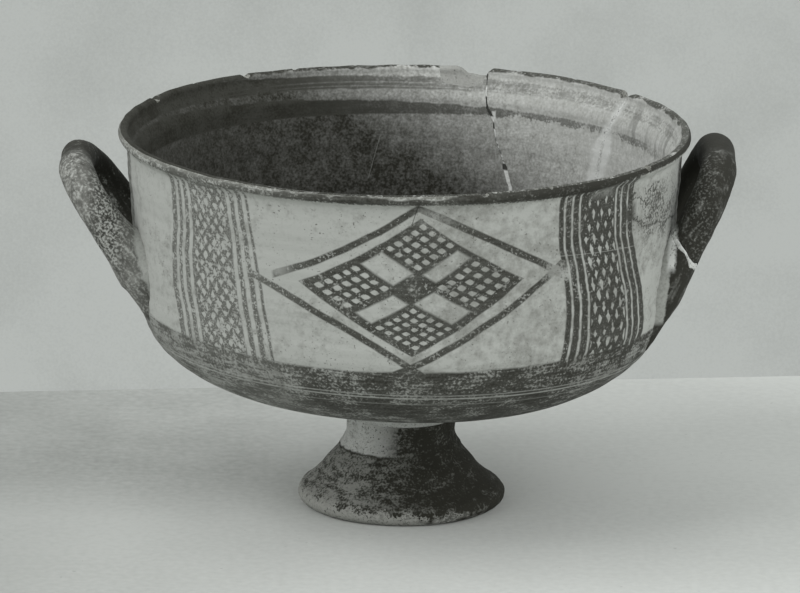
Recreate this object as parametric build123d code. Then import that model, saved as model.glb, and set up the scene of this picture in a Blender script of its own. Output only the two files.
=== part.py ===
from build123d import *
import os
from dataclasses import dataclass
from math import atan2, cos, degrees, radians, sin, sqrt

os.makedirs("parts", exist_ok=True)

# Footed drinking cup of painted clay. +Z is up, +X runs through the two handles, the front is
# towards -Y, and the origin is the centre of the ring that the foot stands on.

# Height of the joint where the bowl sits on the foot, and of the bowl above it
join_height = 35.9
bowl_depth = 99.6
height = join_height + bowl_depth

# Bowl. A drop is measured down from the rim.
rim_radius = 100.0
rim_overhang = 2.7
wall_top_radius = rim_radius - rim_overhang
wall_lean_in = 4.0
belly_radius = wall_top_radius - wall_lean_in
lip_thickness = 3.4
lip_drop = 6.0
wall_thickness = 4.6
floor_thickness = 6.4
wall_share = 0.5723
belly_drop = bowl_depth * wall_share
under_slope = 11.0

# How full the underside is: shares of its height and of its radius that its curve's handles reach
belly_share = 0.65
under_share = 0.63

# Foot. Its edge is widest at a share of its height, and slopes are in degrees.
neck_radius = 19.0
neck_rise = 9.5
foot_radius = 36.4
foot_edge_height = 6.6
foot_edge_share = 0.42
shoulder_radius = 34.8
shoulder_slope = 29.0
sweep_radius = 25.8
sweep_height = 15.0
foot_ring_outer = 33.6
foot_ring_inner = 25.0
hollow_rise = 17.5
hollow_slope = 40.0

# Ring of clay smoothed into the corner between the bowl and the neck
luting_reach = 5.0
luting_fall = 4.2
luting_edge = 0.7
luting_bend_shares = (0.3, 0.45)

# Broken rim and sherds. Angles are in degrees about the cup's axis, anticlockwise from +X.
# Each place along a crack is an angle and a share of the sherd's depth below the rim.
back_sherd_depth = 58.0
right_sherd_depth = 24.5
left_crack_gap = 1.2
right_crack_gap = 2.6
left_crack_shares = (
    (71.8, 0.0), (72.2, 0.14), (71.2, 0.25), (69.9, 0.3), (69.2, 0.43),
    (67.7, 0.545), (66.3, 0.6), (65.6, 0.7), (63.3, 1.0),
)
right_crack_upper_shares = ((35.0, 0.0), (36.8, 0.126), (37.9, 0.225), (40.0, 0.3))
right_crack_lower_shares = ((40.2, 0.45), (40.5, 0.6), (43.0, 1.0))
back_edge_shares = ((49.5, 0.95), (55.0, 1.04))
right_edge_shares = (
    (33.0, 0.88), (24.0, 0.95), (12.0, 0.92), (2.0, 1.0), (-9.0, 0.96), (-19.0, 1.0),
    (-28.5, 0.93), (-31.5, 0.6), (-34.2, 0.33), (-36.0, 0.0),
)

# Notches broken out of the rim: angle, half the width in degrees and depth as a share of chip_depth
chip_depth = 4.4
chip_shares = (
    (152.4, 2.4, 0.42), (126.5, 1.1, 0.36), (113.8, 1.0, 0.28), (34.2, 2.6, 1.0), (-35.7, 1.2, 0.5),
)
low_rim_shares = ((76.2, 0.0), (75.0, 0.9), (73.4, 1.0), (71.2, 1.05), (70.3, 0.0))
rim_fill_depth = 7.6
rim_fill_shares = ((82.6, 0.0), (82.0, 0.72), (79.6, 1.0), (77.0, 0.93), (75.3, 0.6), (76.2, 0.0))

# Cutters run past the surfaces that they cut by this much
overrun = 12.0


@dataclass(frozen=True)
class Loop:
    """Rod of clay bent into a loop that is tipped outwards, measured to the rod's centre line.

    The crown's and the roots' drops are shares of the bowl's depth.
    """

    side: int
    rod: float
    spread: float
    crown_out: float
    crown_share: float
    root_share: float
    corner: float
    swell: float
    swell_length: float
    tail_radius: float

    @property
    def crown_reach(self) -> float:
        """Distance of the crown from the cup's axis."""
        return rim_radius + self.crown_out

    @property
    def crown_drop(self) -> float:
        """Drop of the crown below the rim."""
        return bowl_depth * self.crown_share

    @property
    def wall_reach(self) -> float:
        """Distance along X at which a leg meets the wall."""
        return sqrt(belly_radius**2 - (self.spread / 2) ** 2)

    @property
    def fall(self) -> Vector:
        """Run of a leg from the crown's line to its root, inwards and down."""
        return at(self.crown_reach - self.wall_reach, bowl_depth * self.root_share - self.crown_drop)

    @property
    def tilt(self) -> float:
        """Lean of the loop's plane from the upright, in radians."""
        return atan2(self.fall.X, self.fall.Z)


left_loop = Loop(
    side=-1, rod=11.8, spread=48.0, crown_out=14.1, crown_share=0.141, root_share=0.476,
    corner=18.0, swell=2.4, swell_length=26.0, tail_radius=6.8,
)
right_loop = Loop(
    side=1, rod=12.8, spread=50.0, crown_out=10.6, crown_share=0.1064, root_share=0.538,
    corner=13.5, swell=1.7, swell_length=26.0, tail_radius=2.6,
)
tail_share = 0.221
tail_length = bowl_depth * tail_share

# Slanting break through the right handle's front leg
break_share = 0.3715
break_drop = bowl_depth * break_share
break_slope = 32.0
break_gap = 3.2
stub_reach = 48.0


def at(radius: float, level: float) -> Vector:
    """Point of an outline in the XZ plane."""
    return Vector(radius, 0, level)


def turned(*edges: Edge) -> Part:
    """Solid turned about the cup's axis from the closed outline that the edges make."""
    return revolve(make_face(list(edges)), Axis.Z)


def sloping(slope: float) -> Vector:
    """Direction outwards and up at this slope in degrees."""
    return at(cos(radians(slope)), sin(radians(slope)))


def sloping_in(slope: float) -> Vector:
    """Direction inwards and up at this slope in degrees."""
    return at(-cos(radians(slope)), sin(radians(slope)))


def underside(start: Vector, above_it: Vector, end: Vector, slope: float) -> Edge:
    """Rounded stretch that leaves the belly in the wall's line and ends at this slope in degrees."""
    leave = (start - above_it).normalized() * (start.Z - end.Z) * belly_share
    arrive = sloping(slope) * (start.X - end.X) * under_share
    return Bezier(start, start + leave, end + arrive, end)


# Bowl outlines
lip_level = height - lip_thickness / 2
lip_outer = at(rim_radius, lip_level)
lip_top = at(rim_radius - lip_thickness / 2, height)
lip_inner = at(rim_radius - lip_thickness, lip_level)
wall_top = at(wall_top_radius, height - lip_drop)
belly = at(belly_radius, height - belly_drop)
bottom = at(neck_radius, join_height)
inner_wall_top = at(wall_top_radius - wall_thickness, height - 2 * lip_drop)
inner_belly = at(belly_radius - wall_thickness, height - belly_drop)
floor_centre = at(0, join_height + floor_thickness)

lip_arc = ThreePointArc(lip_outer, lip_top, lip_inner)
lip_flare = Spline(lip_outer, wall_top, tangents=[at(0, -1), belly - wall_top])
outer_wall = Line(wall_top, belly)
outer_under = underside(belly, wall_top, bottom, under_slope)
inner_lip = Spline(lip_inner, inner_wall_top, tangents=[at(0, -1), inner_belly - inner_wall_top])
inner_wall = Line(inner_wall_top, inner_belly)
inner_under = underside(inner_belly, inner_wall_top, floor_centre, 0)

whole_bowl = turned(
    lip_arc, lip_flare, outer_wall, outer_under, Line(bottom, at(0, join_height)),
    Line(at(0, join_height), floor_centre), inner_under, inner_wall, inner_lip,
)
bowl_mass = turned(
    lip_flare, outer_wall, outer_under, Line(bottom, at(0, join_height)),
    Line(at(0, join_height), at(0, lip_level)), Line(at(0, lip_level), lip_outer),
)


def spoke_point(angle: float, drop: float, radius: float) -> Vector:
    """Point at this angle about the axis, drop below the rim and radius."""
    return Vector(radius * cos(radians(angle)), radius * sin(radians(angle)), height - drop)


def radial_cutter(outline: list) -> Solid:
    """Many-sided wedge from the axis out through the wall, whose outline on the wall is given.

    Wedges that share places share those faces exactly, so the pieces that they part fit together.
    """
    apex = at(0, height - belly_drop)
    far = 2 * rim_radius
    ring = [
        apex + (spoke_point(angle, drop, rim_radius) - apex).normalized() * far
        for angle, drop in outline
    ]
    cap = sum(ring, Vector()) / len(ring)
    cap = apex + (cap - apex).normalized() * far
    faces = []
    for first, second in zip(ring, ring[1:] + ring[:1]):
        faces.append(Face(Wire.make_polygon([apex, first, second])))
        faces.append(Face(Wire.make_polygon([cap, second, first])))
    return Solid(Shell(faces))


def places(shares: tuple, depth: float) -> list:
    """Angles and drops from a table of angles and shares of a depth."""
    return [(angle, share * depth) for angle, share in shares]


def above(first: float, last: float) -> list:
    """Places above the rim that close an outline from the first angle round to the last."""
    return [(first, -overrun), (last, -overrun)]


def crack_cutter(line: list, gap: float) -> Solid:
    """Narrow cutter along a crack, of even width, from above the rim to one width past its end."""
    half = degrees(gap / 2 / rim_radius)
    last_angle, last_drop = line[-1]
    longer = line + [(last_angle, last_drop + gap)]
    ahead = [(angle - half, drop) for angle, drop in longer]
    behind = [(angle + half, drop) for angle, drop in longer]
    return radial_cutter(ahead + behind[::-1] + above(behind[0][0], ahead[0][0]))


# Cutters for the sherds, their seams and the broken stretches of rim
left_crack = places(left_crack_shares, back_sherd_depth)
shared_crack = places(right_crack_upper_shares, back_sherd_depth)
right_crack = shared_crack + places(right_crack_lower_shares, back_sherd_depth)
back_edge = places(back_edge_shares, back_sherd_depth)
right_edge = places(right_edge_shares, right_sherd_depth)

back_cutter = radial_cutter(
    right_crack + back_edge + left_crack[::-1] + above(left_crack[0][0], right_crack[0][0])
)
right_cutter = radial_cutter(
    right_edge[::-1] + shared_crack[::-1] + above(right_crack[0][0], right_edge[-1][0])
)
left_seam_cutter = crack_cutter(left_crack, left_crack_gap)
right_seam_cutter = crack_cutter(right_crack, right_crack_gap)
rim_fill = places(rim_fill_shares, rim_fill_depth)
rim_fill_cutter = radial_cutter(rim_fill + above(rim_fill[-1][0], rim_fill[0][0]))
low_rim = places(low_rim_shares, chip_depth)
low_rim_cutter = radial_cutter(low_rim + above(low_rim[-1][0], low_rim[0][0]))
chip_cutters = [
    radial_cutter([
        (angle + half, -overrun), (angle + half, 0), (angle, chip_depth * share), (angle - half, 0),
        (angle - half, -overrun),
    ])
    for angle, half, share in chip_shares
]

# The wall with the low stretch and the notches gone, and its pieces
chipped_bowl = whole_bowl - low_rim_cutter - chip_cutters
rim_plaster_fill = chipped_bowl & rim_fill_cutter
wall = chipped_bowl - rim_fill_cutter
seam_fill_back = wall & left_seam_cutter
seam_fill_right = wall & right_seam_cutter
unseamed = wall - left_seam_cutter - right_seam_cutter
rim_sherd_back = unseamed & back_cutter
rim_sherd_right = unseamed & right_cutter
bowl_body = unseamed - back_cutter - right_cutter

# Foot, hollow underneath, with a flat ring to stand on
ring_outer = at(foot_ring_outer, 0)
ring_inner = at(foot_ring_inner, 0)
shoulder = at(shoulder_radius, foot_edge_height)
neck_start = at(neck_radius, join_height - neck_rise)
join_centre = at(0, join_height)
hollow_top = at(0, hollow_rise)
foot_edge = ThreePointArc(
    ring_outer, at(foot_radius, foot_edge_height * foot_edge_share), shoulder
)
foot_sweep = Spline(
    shoulder, at(sweep_radius, sweep_height), neck_start,
    tangents=[sloping_in(shoulder_slope), at(0, 1)],
)
hollow = Spline(hollow_top, ring_inner, tangents=[at(1, 0), sloping(-hollow_slope)])
foot = turned(
    foot_edge, foot_sweep, Line(neck_start, bottom), Line(bottom, join_centre),
    Line(join_centre, hollow_top), hollow, Line(ring_inner, ring_outer),
)

# Luting ring, a hollow fillet that fills the corner between the neck and the bowl
luting_outer = neck_radius + luting_reach
luting_top = join_height + luting_fall
luting_foot = at(neck_radius, join_height - luting_fall)
luting_rim = at(luting_outer, join_height - luting_edge)
bend_out, bend_down = luting_bend_shares
luting_bend = at(neck_radius + luting_reach * bend_out, join_height - luting_fall * bend_down)
luting_ring = turned(
    ThreePointArc(luting_foot, luting_bend, luting_rim), Line(luting_rim, at(luting_outer, luting_top)),
    Line(at(luting_outer, luting_top), at(neck_radius, luting_top)),
    Line(at(neck_radius, luting_top), luting_foot),
) - bowl_mass


def loop_point(loop: Loop, across: float, along: float) -> Vector:
    """Point of the loop's plane, across from its middle and along from its crown down the legs."""
    return Vector(
        loop.side * (loop.crown_reach - along * sin(loop.tilt)), across,
        height - loop.crown_drop - along * cos(loop.tilt),
    )


def loop_handle(loop: Loop) -> Part:
    """Loop of round rod that swells into its two roots and ends on the bowl's outer face."""
    half = loop.spread / 2
    leg = loop.fall.length
    corners = [
        loop_point(loop, -half, leg), loop_point(loop, -half, 0),
        loop_point(loop, half, 0), loop_point(loop, half, leg),
    ]
    path = FilletPolyline(*corners, radius=loop.corner)
    up = (corners[1] - corners[0]).normalized()
    start = Plane(corners[0], x_dir=(0, 1, 0), z_dir=up)
    handle = sweep(start * Circle(loop.rod / 2), path)
    root_radius = loop.rod / 2 + loop.swell
    on_top = (Align.CENTER, Align.CENTER, Align.MIN)
    below = (Align.CENTER, Align.CENTER, Align.MAX)
    for end in (corners[0], corners[3]):
        root = Plane(end, x_dir=(0, 1, 0), z_dir=up)
        handle += root * Cone(root_radius, loop.rod / 2, loop.swell_length, align=on_top)
        handle += root * Cone(loop.tail_radius, root_radius, tail_length, align=below)
    return handle - bowl_mass


handle_left = loop_handle(left_loop)
right_handle_whole = loop_handle(right_loop)

# The right handle's front leg is broken through on a slant, and the gap is filled with plaster
break_along = (break_drop - right_loop.crown_drop) / cos(right_loop.tilt)
break_centre = loop_point(right_loop, -right_loop.spread / 2, break_along)
break_plane = Plane(
    break_centre, x_dir=(0, 1, 0), z_dir=(cos(radians(break_slope)), 0, sin(radians(break_slope))),
)
leg_width = right_loop.spread / 2 + right_loop.rod
gap_zone = break_plane * Box(leg_width, 2 * stub_reach, break_gap)
stub_zone = break_plane * Box(
    leg_width, 2 * stub_reach, stub_reach, align=(Align.CENTER, Align.CENTER, Align.MAX)
)
handle_right = right_handle_whole - gap_zone - stub_zone
handle_break_fill = right_handle_whole & gap_zone
handle_right_stub = (right_handle_whole & stub_zone) - gap_zone

pieces = {
    "bowl_body": bowl_body,
    "foot": foot,
    "luting_ring": luting_ring,
    "handle_left": handle_left,
    "handle_right": handle_right,
    "handle_right_stub": handle_right_stub,
    "handle_break_fill": handle_break_fill,
    "rim_sherd_back": rim_sherd_back,
    "rim_sherd_right": rim_sherd_right,
    "seam_fill_back": seam_fill_back,
    "seam_fill_right": seam_fill_right,
    "rim_plaster_fill": rim_plaster_fill,
}
for name, piece in pieces.items():
    export_step(piece, f"parts/{name}.step")
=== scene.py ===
"""Footed drinking cup of painted clay: its looks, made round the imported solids.

Sizes here are in millimetres and meshes are made in metres, in the solids' own frame: +Z is up, +X
runs through the two handles and the painted front looks towards -Y. A drop is measured down from
the rim. Along the wall a place is its run, the arc from the middle of the front, and its drop.
"""

import logging
from collections.abc import Iterable
from dataclasses import dataclass
from enum import Enum
from functools import reduce
from math import cos, degrees, pi, radians, sin, sqrt

import bmesh
import bpy
import numpy as np
from mathutils import Matrix, Vector, noise
from mathutils.geometry import tessellate_polygon

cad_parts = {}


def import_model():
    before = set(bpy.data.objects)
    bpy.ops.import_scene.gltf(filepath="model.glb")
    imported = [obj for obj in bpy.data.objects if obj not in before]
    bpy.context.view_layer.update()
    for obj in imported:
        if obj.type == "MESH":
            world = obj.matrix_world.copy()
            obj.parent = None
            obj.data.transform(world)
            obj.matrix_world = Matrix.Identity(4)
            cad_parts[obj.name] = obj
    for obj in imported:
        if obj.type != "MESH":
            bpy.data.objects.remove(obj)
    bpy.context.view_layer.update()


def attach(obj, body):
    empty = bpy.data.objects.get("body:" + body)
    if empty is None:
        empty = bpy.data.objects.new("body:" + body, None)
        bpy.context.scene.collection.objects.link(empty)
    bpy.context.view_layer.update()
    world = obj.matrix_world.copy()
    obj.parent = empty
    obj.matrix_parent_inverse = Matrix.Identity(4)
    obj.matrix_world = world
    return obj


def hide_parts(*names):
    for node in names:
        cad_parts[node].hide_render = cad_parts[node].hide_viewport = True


log = logging.getLogger("cup")
MM = 0.001
HEIGHT = 135.5
RIM_RADIUS = 100.0
RUN_RADIUS = 95.1
ABOVE_RIM = -12.0
Line = list[tuple[float, float]]
Places = tuple[tuple[float, float], ...]
Piece = bpy.types.Object
Material = bpy.types.Material
Socket = bpy.types.NodeSocket


class Slot(Enum):
    """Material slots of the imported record."""

    PAINTED = "painted_clay"
    FIRED = "fired_clay"
    PLASTER = "plaster"


class Skin(Enum):
    """Faces of the bowl's wall, in the order of its material slots."""

    OUTSIDE = 0
    INSIDE = 1
    BROKEN = 2


class Tone(Enum):
    """Plain colours of the clay and what lies on it, in linear light."""

    SLIP = (0.415, 0.425, 0.402)
    SLIP_DIRTY = (0.23, 0.233, 0.215)
    PAINT = (0.0255, 0.025, 0.0195)
    PAINT_THIN = (0.105, 0.107, 0.096)
    CLAY = (0.31, 0.312, 0.29)
    CLAY_DARK = (0.12, 0.12, 0.105)
    WASH = (0.19, 0.192, 0.178)
    SOIL = (0.02, 0.02, 0.016)
    BARE = (0.56, 0.568, 0.548)
    PLASTER = (0.64, 0.65, 0.632)
    PLASTER_GREY = (0.36, 0.365, 0.345)
    PATCH = (0.3, 0.302, 0.285)
    TABLE = (0.4, 0.411, 0.396)
    TABLE_PAINTED_LIGHT = (0.67, 0.685, 0.662)
    TABLE_DARK = (0.3, 0.308, 0.294)
    BACKDROP = (0.645, 0.658, 0.64)


class Value:
    """Number output of a node. Python's operators on it add Math nodes."""

    def __init__(self, tree: "Tree", socket: Socket) -> None:
        """Keeps the tree and the output socket."""
        self.tree = tree
        self.socket = socket

    def __add__(self, other: "Number") -> "Value":
        """Sum."""
        return self.tree.math("ADD", self, other)

    __radd__ = __add__

    def __sub__(self, other: "Number") -> "Value":
        """Difference."""
        return self.tree.math("SUBTRACT", self, other)

    def __rsub__(self, other: "Number") -> "Value":
        """Difference, with the value second."""
        return self.tree.math("SUBTRACT", other, self)

    def __mul__(self, other: "Number") -> "Value":
        """Product."""
        return self.tree.math("MULTIPLY", self, other)

    __rmul__ = __mul__

    def __truediv__(self, other: "Number") -> "Value":
        """Quotient."""
        return self.tree.math("DIVIDE", self, other)

    def __neg__(self) -> "Value":
        """Negative."""
        return self.tree.math("MULTIPLY", self, -1.0)

    def __abs__(self) -> "Value":
        """Absolute value."""
        return self.tree.math("ABSOLUTE", self)

    def __or__(self, other: "Number") -> "Value":
        """Larger of the two, which joins two masks."""
        return self.tree.math("MAXIMUM", self, other)

    def __and__(self, other: "Number") -> "Value":
        """Smaller of the two, which is where two masks overlap."""
        return self.tree.math("MINIMUM", self, other)

    def clamped(self) -> "Value":
        """Value held between 0 and 1."""
        return self.tree.math("ADD", self, 0.0, clamp=True)

    def over(self, edge: "Number", soft: float) -> "Value":
        """Mask that rises from 0 to 1 over a soft width about an edge."""
        return self.tree.math("MULTIPLY_ADD", self - edge, 1 / soft, 0.5, clamp=True)

    def under(self, edge: "Number", soft: float) -> "Value":
        """Mask that falls from 1 to 0 over a soft width about an edge."""
        return self.tree.math("MULTIPLY_ADD", self - edge, -1 / soft, 0.5, clamp=True)

    def between(self, low: "Number", high: "Number", soft: float) -> "Value":
        """Mask of a stretch with soft ends."""
        return self.over(low, soft) & self.under(high, soft)

    def near(self, middle: "Number", half: float, soft: float) -> "Value":
        """Mask of a line of this half width about a middle."""
        return abs(self - middle).under(half, soft)

    def curve(self, level: float, slope: float, bend: float) -> "Value":
        """Value of level + slope * x + bend * x * x."""
        inner = self.tree.math("MULTIPLY_ADD", self, bend, slope)
        return self.tree.math("MULTIPLY_ADD", self, inner, level)

    def part(self) -> "Value":
        """Fraction left when the whole number is taken off."""
        return self.tree.math("FRACT", self)

    def stray(self, reach: float) -> "Value":
        """Noise about one half, turned into an unevenness about 0."""
        return self.tree.math("MULTIPLY_ADD", self, reach, -0.5 * reach)


Number = float | Value


def joined(masks: Iterable[Value]) -> Value:
    """Mask of all that any of the masks covers."""
    return reduce(Value.__or__, masks)


class Tree:
    """Nodes of one material, written as Python expressions."""

    def __init__(self, name: str) -> None:
        """Makes the material with an empty node tree.

        Args:
            name: Name of the material.
        """
        self.material = bpy.data.materials.new(name)
        self.material.use_nodes = True
        self.material.node_tree.nodes.clear()
        coordinates = self.node("ShaderNodeTexCoord")
        self.spot = self.vector("MULTIPLY", coordinates.outputs["Object"], (1 / MM,) * 3)
        split = self.node("ShaderNodeSeparateXYZ", {}, {"Vector": self.spot})
        self.x, self.y, self.z = (Value(self, out) for out in split.outputs)

    def turn(self) -> Value:
        """Angle from the middle of the front, or of the back, towards the right handle."""
        return self.math("ARCTAN2", self.x, abs(self.y))

    def node(
        self, kind: str, settings: dict | None = None, inputs: dict | None = None,
    ) -> bpy.types.Node:
        """Adds any node.

        Args:
            kind: Type of the node.
            settings: Its own properties, which are set first.
            inputs: Numbers, colours, values or sockets for its input sockets.

        Returns:
            The node.
        """
        made = self.material.node_tree.nodes.new(kind)
        for name, setting in (settings or {}).items():
            setattr(made, name, setting)
        for name, given in (inputs or {}).items():
            source = given.socket if isinstance(given, Value) else given
            if isinstance(source, Socket):
                self.material.node_tree.links.new(source, made.inputs[name])
            else:
                made.inputs[name].default_value = source
        return made

    def math(self, operation: str, *values: Number, clamp: bool = False) -> Value:
        """Adds a Math node.

        Args:
            operation: The node's operation.
            values: Its numbers and values in order.
            clamp: Whether it holds its result between 0 and 1.

        Returns:
            Its output.
        """
        settings = {"operation": operation, "use_clamp": clamp}
        return Value(self, self.node("ShaderNodeMath", settings, dict(enumerate(values))).outputs[0])

    def vector(self, operation: str, first: Socket, second: tuple | Socket) -> Socket:
        """Adds a Vector Math node.

        Args:
            operation: The node's operation.
            first: First vector.
            second: Second vector.

        Returns:
            Its vector output.
        """
        made = self.node("ShaderNodeVectorMath", {"operation": operation}, {0: first, 1: second})
        return made.outputs["Vector"]

    def place(self, x: Number, y: Number, z: Number = 0.0) -> Socket:
        """Vector of three numbers."""
        return self.node("ShaderNodeCombineXYZ", {}, {"X": x, "Y": y, "Z": z}).outputs["Vector"]

    def grain(
        self, size: float, detail: float = 2.0, at: Socket | None = None,
        stretch: tuple = (1.0, 1.0, 1.0), shift: float = 0.0,
    ) -> Value:
        """Smooth noise about one half.

        Args:
            size: Size of its grains in millimetres.
            detail: How many finer layers it has.
            at: Where it is read, the object's own coordinates unless given.
            stretch: How much longer the grains are along each axis.
            shift: Moves it, so that two noises differ.

        Returns:
            The noise.
        """
        factors = tuple(1 / (size * share) for share in stretch)
        scaled = self.vector("MULTIPLY", at or self.spot, factors)
        moved = self.vector("ADD", scaled, (shift, 1.7 * shift, -shift))
        inputs = {"Vector": moved, "Scale": 1.0, "Detail": detail, "Roughness": 0.55}
        made = self.node("ShaderNodeTexNoise", {"noise_dimensions": "3D"}, inputs)
        return Value(self, made.outputs["Fac"])

    def blend(self, base: Tone | Socket, top: Tone | Socket, mask: Number) -> Socket:
        """Mixes two colours.

        Args:
            base: Colour where the mask is 0.
            top: Colour where the mask is 1.
            mask: The factor.

        Returns:
            The mixed colour.
        """
        first, second = ((*c.value, 1.0) if isinstance(c, Tone) else c for c in (base, top))
        inputs = {"Factor": mask, 6: first, 7: second}
        return self.node("ShaderNodeMix", {"data_type": "RGBA"}, inputs).outputs[2]

    def finish(
        self, colour: Socket, height: Value, depth: float, rough: Number = 0.85, gloss: float = 0.25,
    ) -> Material:
        """Adds the shader, with a bump from a height.

        Args:
            colour: Base colour.
            height: Height of the relief, about 0 to 1.
            depth: Depth of the relief in millimetres.
            rough: Roughness.
            gloss: Specular level.

        Returns:
            The finished material.
        """
        bump = self.node("ShaderNodeBump", {}, {"Height": height, "Strength": 1.0, "Distance": depth * MM})
        inputs = {
            "Base Color": colour, "Roughness": rough, "Normal": bump.outputs["Normal"],
            "Specular IOR Level": gloss,
        }
        shader = self.node("ShaderNodeBsdfPrincipled", {}, inputs)
        self.node("ShaderNodeOutputMaterial", {}, {"Surface": shader.outputs["BSDF"]})
        return self.material


@dataclass(frozen=True)
class Stroke:
    """Straight painted line between two places on the wall."""

    start: tuple[float, float]
    end: tuple[float, float]
    bow: float = 0.0

    def side(self, run: Value, drop: Value) -> Value:
        """Distance from the line, positive to the right when it is walked from start to end.

        Args:
            run: Arc from the middle of the front.
            drop: Depth below the rim.

        Returns:
            The distance in millimetres, less the line's bow.
        """
        along_run, along_drop = self.end[0] - self.start[0], self.end[1] - self.start[1]
        length = sqrt(along_run**2 + along_drop**2)
        across = (-along_drop / length, along_run / length)
        offset = self.start[0] * across[0] + self.start[1] * across[1]
        tree = run.tree
        straight = tree.math(
            "MULTIPLY_ADD", run, across[0], tree.math("MULTIPLY_ADD", drop, across[1], -offset),
        )
        if not self.bow:
            return straight
        middle = (self.start[0] * along_run + self.start[1] * along_drop + length**2 / 2) / length
        share = tree.math(
            "MULTIPLY_ADD", run, 2 * along_run / length**2,
            tree.math("MULTIPLY_ADD", drop, 2 * along_drop / length**2, -2 * middle / length),
        )
        return straight - (1 - share * share) * self.bow


@dataclass(frozen=True)
class NetBand:
    """Upright band of a painted net between thin light lines.

    An edge is its run at the rim, its slope, and the reach and the start of its sway. Places of the
    lines and the net's ends are shares of the band's width, and so are the soft widths.
    """

    left_edge: tuple[float, float, float, float]
    right_edge: tuple[float, float, float, float]
    pace: float
    lines: tuple[float, ...]
    line_half: float
    net: tuple[float, float]
    columns: float
    row: float
    spot: tuple[float, float]
    uneven: float = 1.0
    starts: float = 0.0
    lowest: float = 66.0
    soft: float = 0.014
    margin: float = 0.012

    def paint(self, run: Value, drop: Value, wander: Value) -> Value:
        """Mask of the band's paint.

        Args:
            run: Arc from the middle of the front.
            drop: Depth below the rim.
            wander: Noise that makes the hand's strokes uneven.

        Returns:
            The mask.
        """
        left, right = self.edge(drop, self.left_edge), self.edge(drop, self.right_edge)
        share = (run - left) / (right - left)
        half = self.line_half + wander.stray(self.margin)
        light = joined(share.near(place, half, self.soft) for place in self.lines)
        first, last = self.net
        across = (share - first) / (last - first) * self.columns * 0.5
        down = drop / self.row + wander.stray(0.5)
        wide, tall = self.spot
        size = drop.over(self.starts, 20.0) * 0.5 + 0.5 + wander.stray(self.uneven)
        inside = share.between(first + self.margin, last - self.margin, self.margin)
        for offset in (0.0, 0.5):
            aside = abs((across + offset).part() - 0.5) * (2 / wide)
            along = abs((down + offset).part() - 0.5) * (1 / tall)
            light = light | ((aside + along).under(size, 0.4) & inside)
        return share.between(0.0, 1.0, self.soft) * (1 - light) * drop.between(0.5, self.lowest, 1.0)

    def edge(self, drop: Value, shape: tuple[float, float, float, float]) -> Value:
        """Run of an edge at a drop."""
        level, slope, reach, start = shape
        return drop * slope + level + drop.tree.math("SINE", drop * self.pace - start) * reach


@dataclass(frozen=True)
class Field:
    """Dark four-sided field of the front, parted into nine, inside a drawn outline.

    Strokes run round it from the left corner over the top. A plain square is its left, right, top and
    bottom as shares of the field, and a net has its columns and rows besides. Each stroke of the outline
    is drawn between two runs.
    """

    outline: tuple[Stroke, ...] = (
        Stroke((-46.0, 31.6), (4.2, 5.2), 1.9), Stroke((4.2, 4.7), (56.0, 31.2), -0.5),
        Stroke((56.4, 28.4), (0.5, 63.0), -1.8), Stroke((6.0, 64.2), (-54.5, 32.4), 1.8),
    )
    edges: tuple[Stroke, ...] = (
        Stroke((-36.3, 32.9), (5.4, 8.6), 1.4), Stroke((5.4, 8.6), (42.0, 31.7), 1.0),
        Stroke((42.0, 31.7), (3.2, 57.7), -1.3), Stroke((3.2, 57.7), (-36.3, 32.9), -0.7),
    )
    drawn: Places = ((-46.0, 5.0), (3.5, 57.0), (-4.0, 57.0), (-56.0, 9.0))
    line_half: float = 1.2
    soft: float = 0.5
    plain: tuple[tuple[float, float, float, float], ...] = (
        (0.432, 0.603, 0.067, 0.362), (0.638, 0.955, 0.414, 0.535), (0.073, 0.366, 0.435, 0.575),
        (0.395, 0.56, 0.6, 0.922),
    )
    nets: tuple[tuple[float, float, float, float, int, int], ...] = (
        (0.043, 0.41, 0.044, 0.388, 5, 4), (0.628, 0.993, 0.031, 0.384, 5, 4),
        (0.592, 0.967, 0.56, 0.94, 5, 4), (0.047, 0.377, 0.61, 0.975, 5, 5),
    )

    def paint(self, run: Value, drop: Value, wander: Value) -> Value:
        """Mask of the field's paint.

        Args:
            run: Arc from the middle of the front.
            drop: Depth below the rim.
            wander: Noise that makes the hand's strokes uneven.

        Returns:
            The mask.
        """
        sides = [edge.side(run, drop) for edge in self.edges]
        inside = ((sides[0] & sides[1]) & (sides[2] & sides[3])).over(0.0, self.soft)
        across = sides[3] / (sides[3] + sides[1])
        down = sides[0] / (sides[0] + sides[2])
        light = across.near(0.484, 0.012, 0.014) & down.near(0.474, 0.013, 0.014)
        for low, high, top, bottom in self.plain:
            light = light | (across.between(low, high, 0.02) & down.between(top, bottom, 0.02))
        for low, high, top, bottom, columns, rows in self.nets:
            first = ((across - low) / ((high - low) / columns)).part() - 0.5
            second = ((down - top) / ((bottom - top) / rows)).part() - 0.5
            corner = (abs(first) | abs(second)) * 0.75 + (abs(first) + abs(second)) * 0.15
            spots = corner.under(0.16 + wander * 0.22, 0.09)
            area = across.between(low, high, 0.004) & down.between(top, bottom, 0.004)
            light = light | (spots & area)
        return (inside * (1 - light)) | joined(
            stroke.side(run, drop).near(0.0, self.line_half, self.soft) & run.between(*reach, 1.5)
            for stroke, reach in zip(self.outline, self.drawn)
        )


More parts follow.
